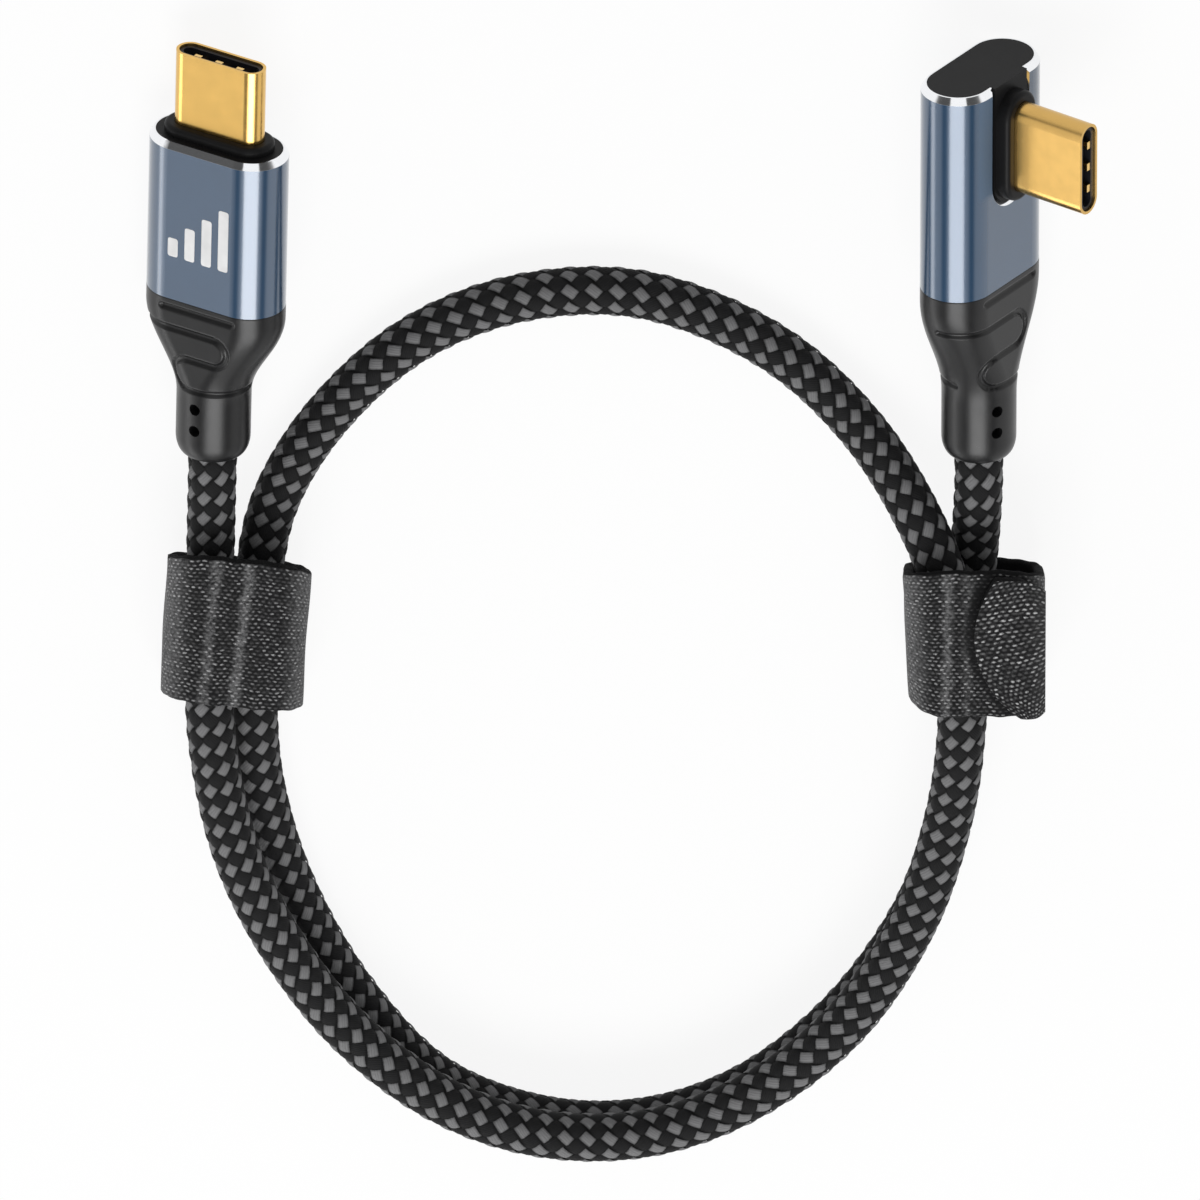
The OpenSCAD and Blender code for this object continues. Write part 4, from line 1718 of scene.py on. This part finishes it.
        def shape(u: float, v: float) -> Vector:
            """Lays a point of the shell.

            Args:
                u: share of the way round.
                v: share of the way through the rings.

            Returns:
                The point.
            """
            number = round(v * (len(rings) - 1))
            y, flat, radius = rings[number]
            on_skin = number < len(skin)
            around = 4 * flat + math.tau * radius
            way = (u - 0.5) * around
            over = abs(way) - flat
            sign = 1.0 if way >= 0 else -1.0
            grooved = on_skin and low < y < high
            radius_here = radius - (self.sink(lines, way, y, around) if grooved else 0.0)
            if over <= 0:
                spot = Vector((way, y, radius_here))
            elif over < math.pi * radius:
                angle = over / radius
                x = sign * (flat + radius_here * math.sin(angle))
                spot = Vector((x, y, radius_here * math.cos(angle)))
            else:
                spot = Vector((sign * (flat - over + math.pi * radius), y, -radius_here))
            if on_skin and flat == 0.0:
                for vent in self.vents:
                    spot = self.pierce(spot, vent)
            return spot

        mapped_grid(bm, self.columns, len(rings) - 1, shape, self.spread)
        bmesh.ops.remove_doubles(bm, verts=bm.verts, dist=0.002)
        bmesh.ops.recalc_face_normals(bm, faces=bm.faces)
        for edge in bm.edges:
            on_neck = edge.verts[0].co.y < self.neck_end
            if on_neck and edge.calc_face_angle(0.0) > self.crease:
                edge.smooth = False
        finish = BootRubber(f"{self.side}_boot_rubber")
        piece = make_piece(
            f"{self.side}_strain_relief", bm, finish.material(), "cable", self.pose
        )
        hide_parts(f"{self.side}_boot")
        return piece


# ---- Plugs -----------------------------------------------------------------------------


@dataclass
class Plug:
    """Finishes of one plug's rigid pieces."""

    side: str
    pose: Pose
    sleeve: AnodisedSleeve
    plating: Colour

    def finishes(self) -> dict[str, Finish]:
        """Which finish goes on which piece.

        Returns:
            Finishes by the piece's name without its plug.
        """

        def metal(name: str, colour: Colour, roughness: float) -> PlatedMetal:
            """A metal whose fine lines run along the plug."""
            return PlatedMetal(f"{self.side}_{name}", colour, roughness, self.pose)

        def plastic(name: str, colour: Colour, *look: float, gloss: float = 0.25) -> Finish:
            """A moulded plastic."""
            return MouldedPlastic(f"{self.side}_{name}", colour, *look, gloss=gloss)

        black = plastic("black_moulding", (0.0105, 0.0105, 0.0110), 0.42, gloss=0.1)
        fine_gold = metal("contact_gold", (0.86, 0.58, 0.22), 0.25)
        return {
            "shell": metal("gold_plate", self.plating, 0.24),
            "housing": plastic("contact_block", (0.012, 0.013, 0.018), 0.42),
            "contacts": fine_gold,
            "springs": fine_gold,
            "latch": metal("spring_steel", (0.58, 0.58, 0.59), 0.3),
            "board": CircuitBoard(f"{self.side}_board_mask", self.pose),
            "chip": plastic("chip_epoxy", (0.02, 0.02, 0.021), 0.6, 12.0, 0.006),
            "can": metal("shield_tin", (0.66, 0.66, 0.67), 0.34),
            "mould": plastic("inner_mould", (0.34, 0.33, 0.30), 0.5, 3.0, 0.02),
            "nose": black,
            "insert": black,
            "sleeve": self.sleeve,
            "crimp": metal("crimp_brass", (0.72, 0.55, 0.27), 0.36),
            "cable_end": plastic("jacket", (0.02, 0.02, 0.02), 0.5, 5.0, 0.01),
            "wires": WireJacket(f"{self.side}_wire_jackets", self.pose),
        }

    def build(self, nodes: dict[str, bpy.types.Object]) -> None:
        """Gives each of the plug's pieces its finish.

        Args:
            nodes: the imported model's objects by name.
        """
        for part, finish in self.finishes().items():
            node = nodes.get(f"{self.side}_{part}")
            if node is None:
                continue
            node.data.materials.clear()
            node.data.materials.append(finish.material())
            LOG.info("%s: %s", node.name, finish.name)


@dataclass
class LevelMark:
    """Small rising bars printed on the straight plug's sleeve."""

    pose: Pose
    half_thickness: float = 3.1
    bars: int = 4
    width: float = 0.95
    pitch: float = 1.6
    start: float = 18.7
    lowest: float = 1.7
    rise: float = 1.3
    corner: float = 0.2
    ink: float = 0.012

    def build(self) -> None:
        """Makes the bars, just proud of the sleeve."""
        bm = bmesh.new()
        for k in range(self.bars):
            tall = self.lowest + k * self.rise
            made = bmesh.ops.create_cube(bm, size=1.0)["verts"]
            bmesh.ops.scale(bm, vec=(self.width, tall, self.ink), verts=made)
            x = (k - (self.bars - 1) / 2) * self.pitch
            where = (x, self.start + tall / 2, self.half_thickness + self.ink / 2)
            bmesh.ops.translate(bm, vec=where, verts=made)
        upright = [e for e in bm.edges if abs(e.verts[0].co.z - e.verts[1].co.z) > self.ink / 2]
        bmesh.ops.bevel(
            bm,
            geom=upright,
            offset=self.corner,
            affect="EDGES",
            segments=3,
            profile=0.5,
            material=-1,
        )
        ink = MouldedPlastic("print_white", (0.78, 0.78, 0.78), 0.5, 20.0, 0.002)
        make_piece(
            "straight_level_mark", bm, ink.material(), "cable", self.pose, False
        )


# ---- All of it -------------------------------------------------------------------------


def main() -> None:
    """Builds the scene."""
    logging.basicConfig(level=logging.INFO, format="%(message)s")
    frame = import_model()
    Studio().build()
    BraidedCord().build()
    Straps().build()
    Boot(
        "straight",
        STRAIGHT_POSE,
        length=14.7,
        rows=(12.0, 9.5, 6.7),
        turns=(1.6, -0.9),
        ends=(-6.5, 5.5),
    ).build()
    Boot(
        "angled",
        ANGLED_POSE,
        length=16.8,
        rows=(13.5, 10.4, 7.39),
        turns=(0.6, -1.6),
        ends=(-7.6, 5.0),
        vent_turn=math.radians(-25),
    ).build()
    straight_sleeve = AnodisedSleeve("straight_anodised", STRAIGHT_POSE, top=29.1)
    angled_sleeve = AnodisedSleeve(
        "angled_anodised",
        ANGLED_POSE,
        top=35.7,
        slot_half=2.25,
        slot_round=26.65,
        slot_chamfer=0.35,
        slot_ends=(26.4, 25.6),
        sheen=1.72,
    )
    nodes = frame["nodes"]
    Plug("straight", STRAIGHT_POSE, straight_sleeve, GOLD).build(nodes)
    Plug("angled", ANGLED_POSE, angled_sleeve, DARKER_GOLD).build(nodes)
    LevelMark(STRAIGHT_POSE).build()


if __name__ == "__main__":
    main()
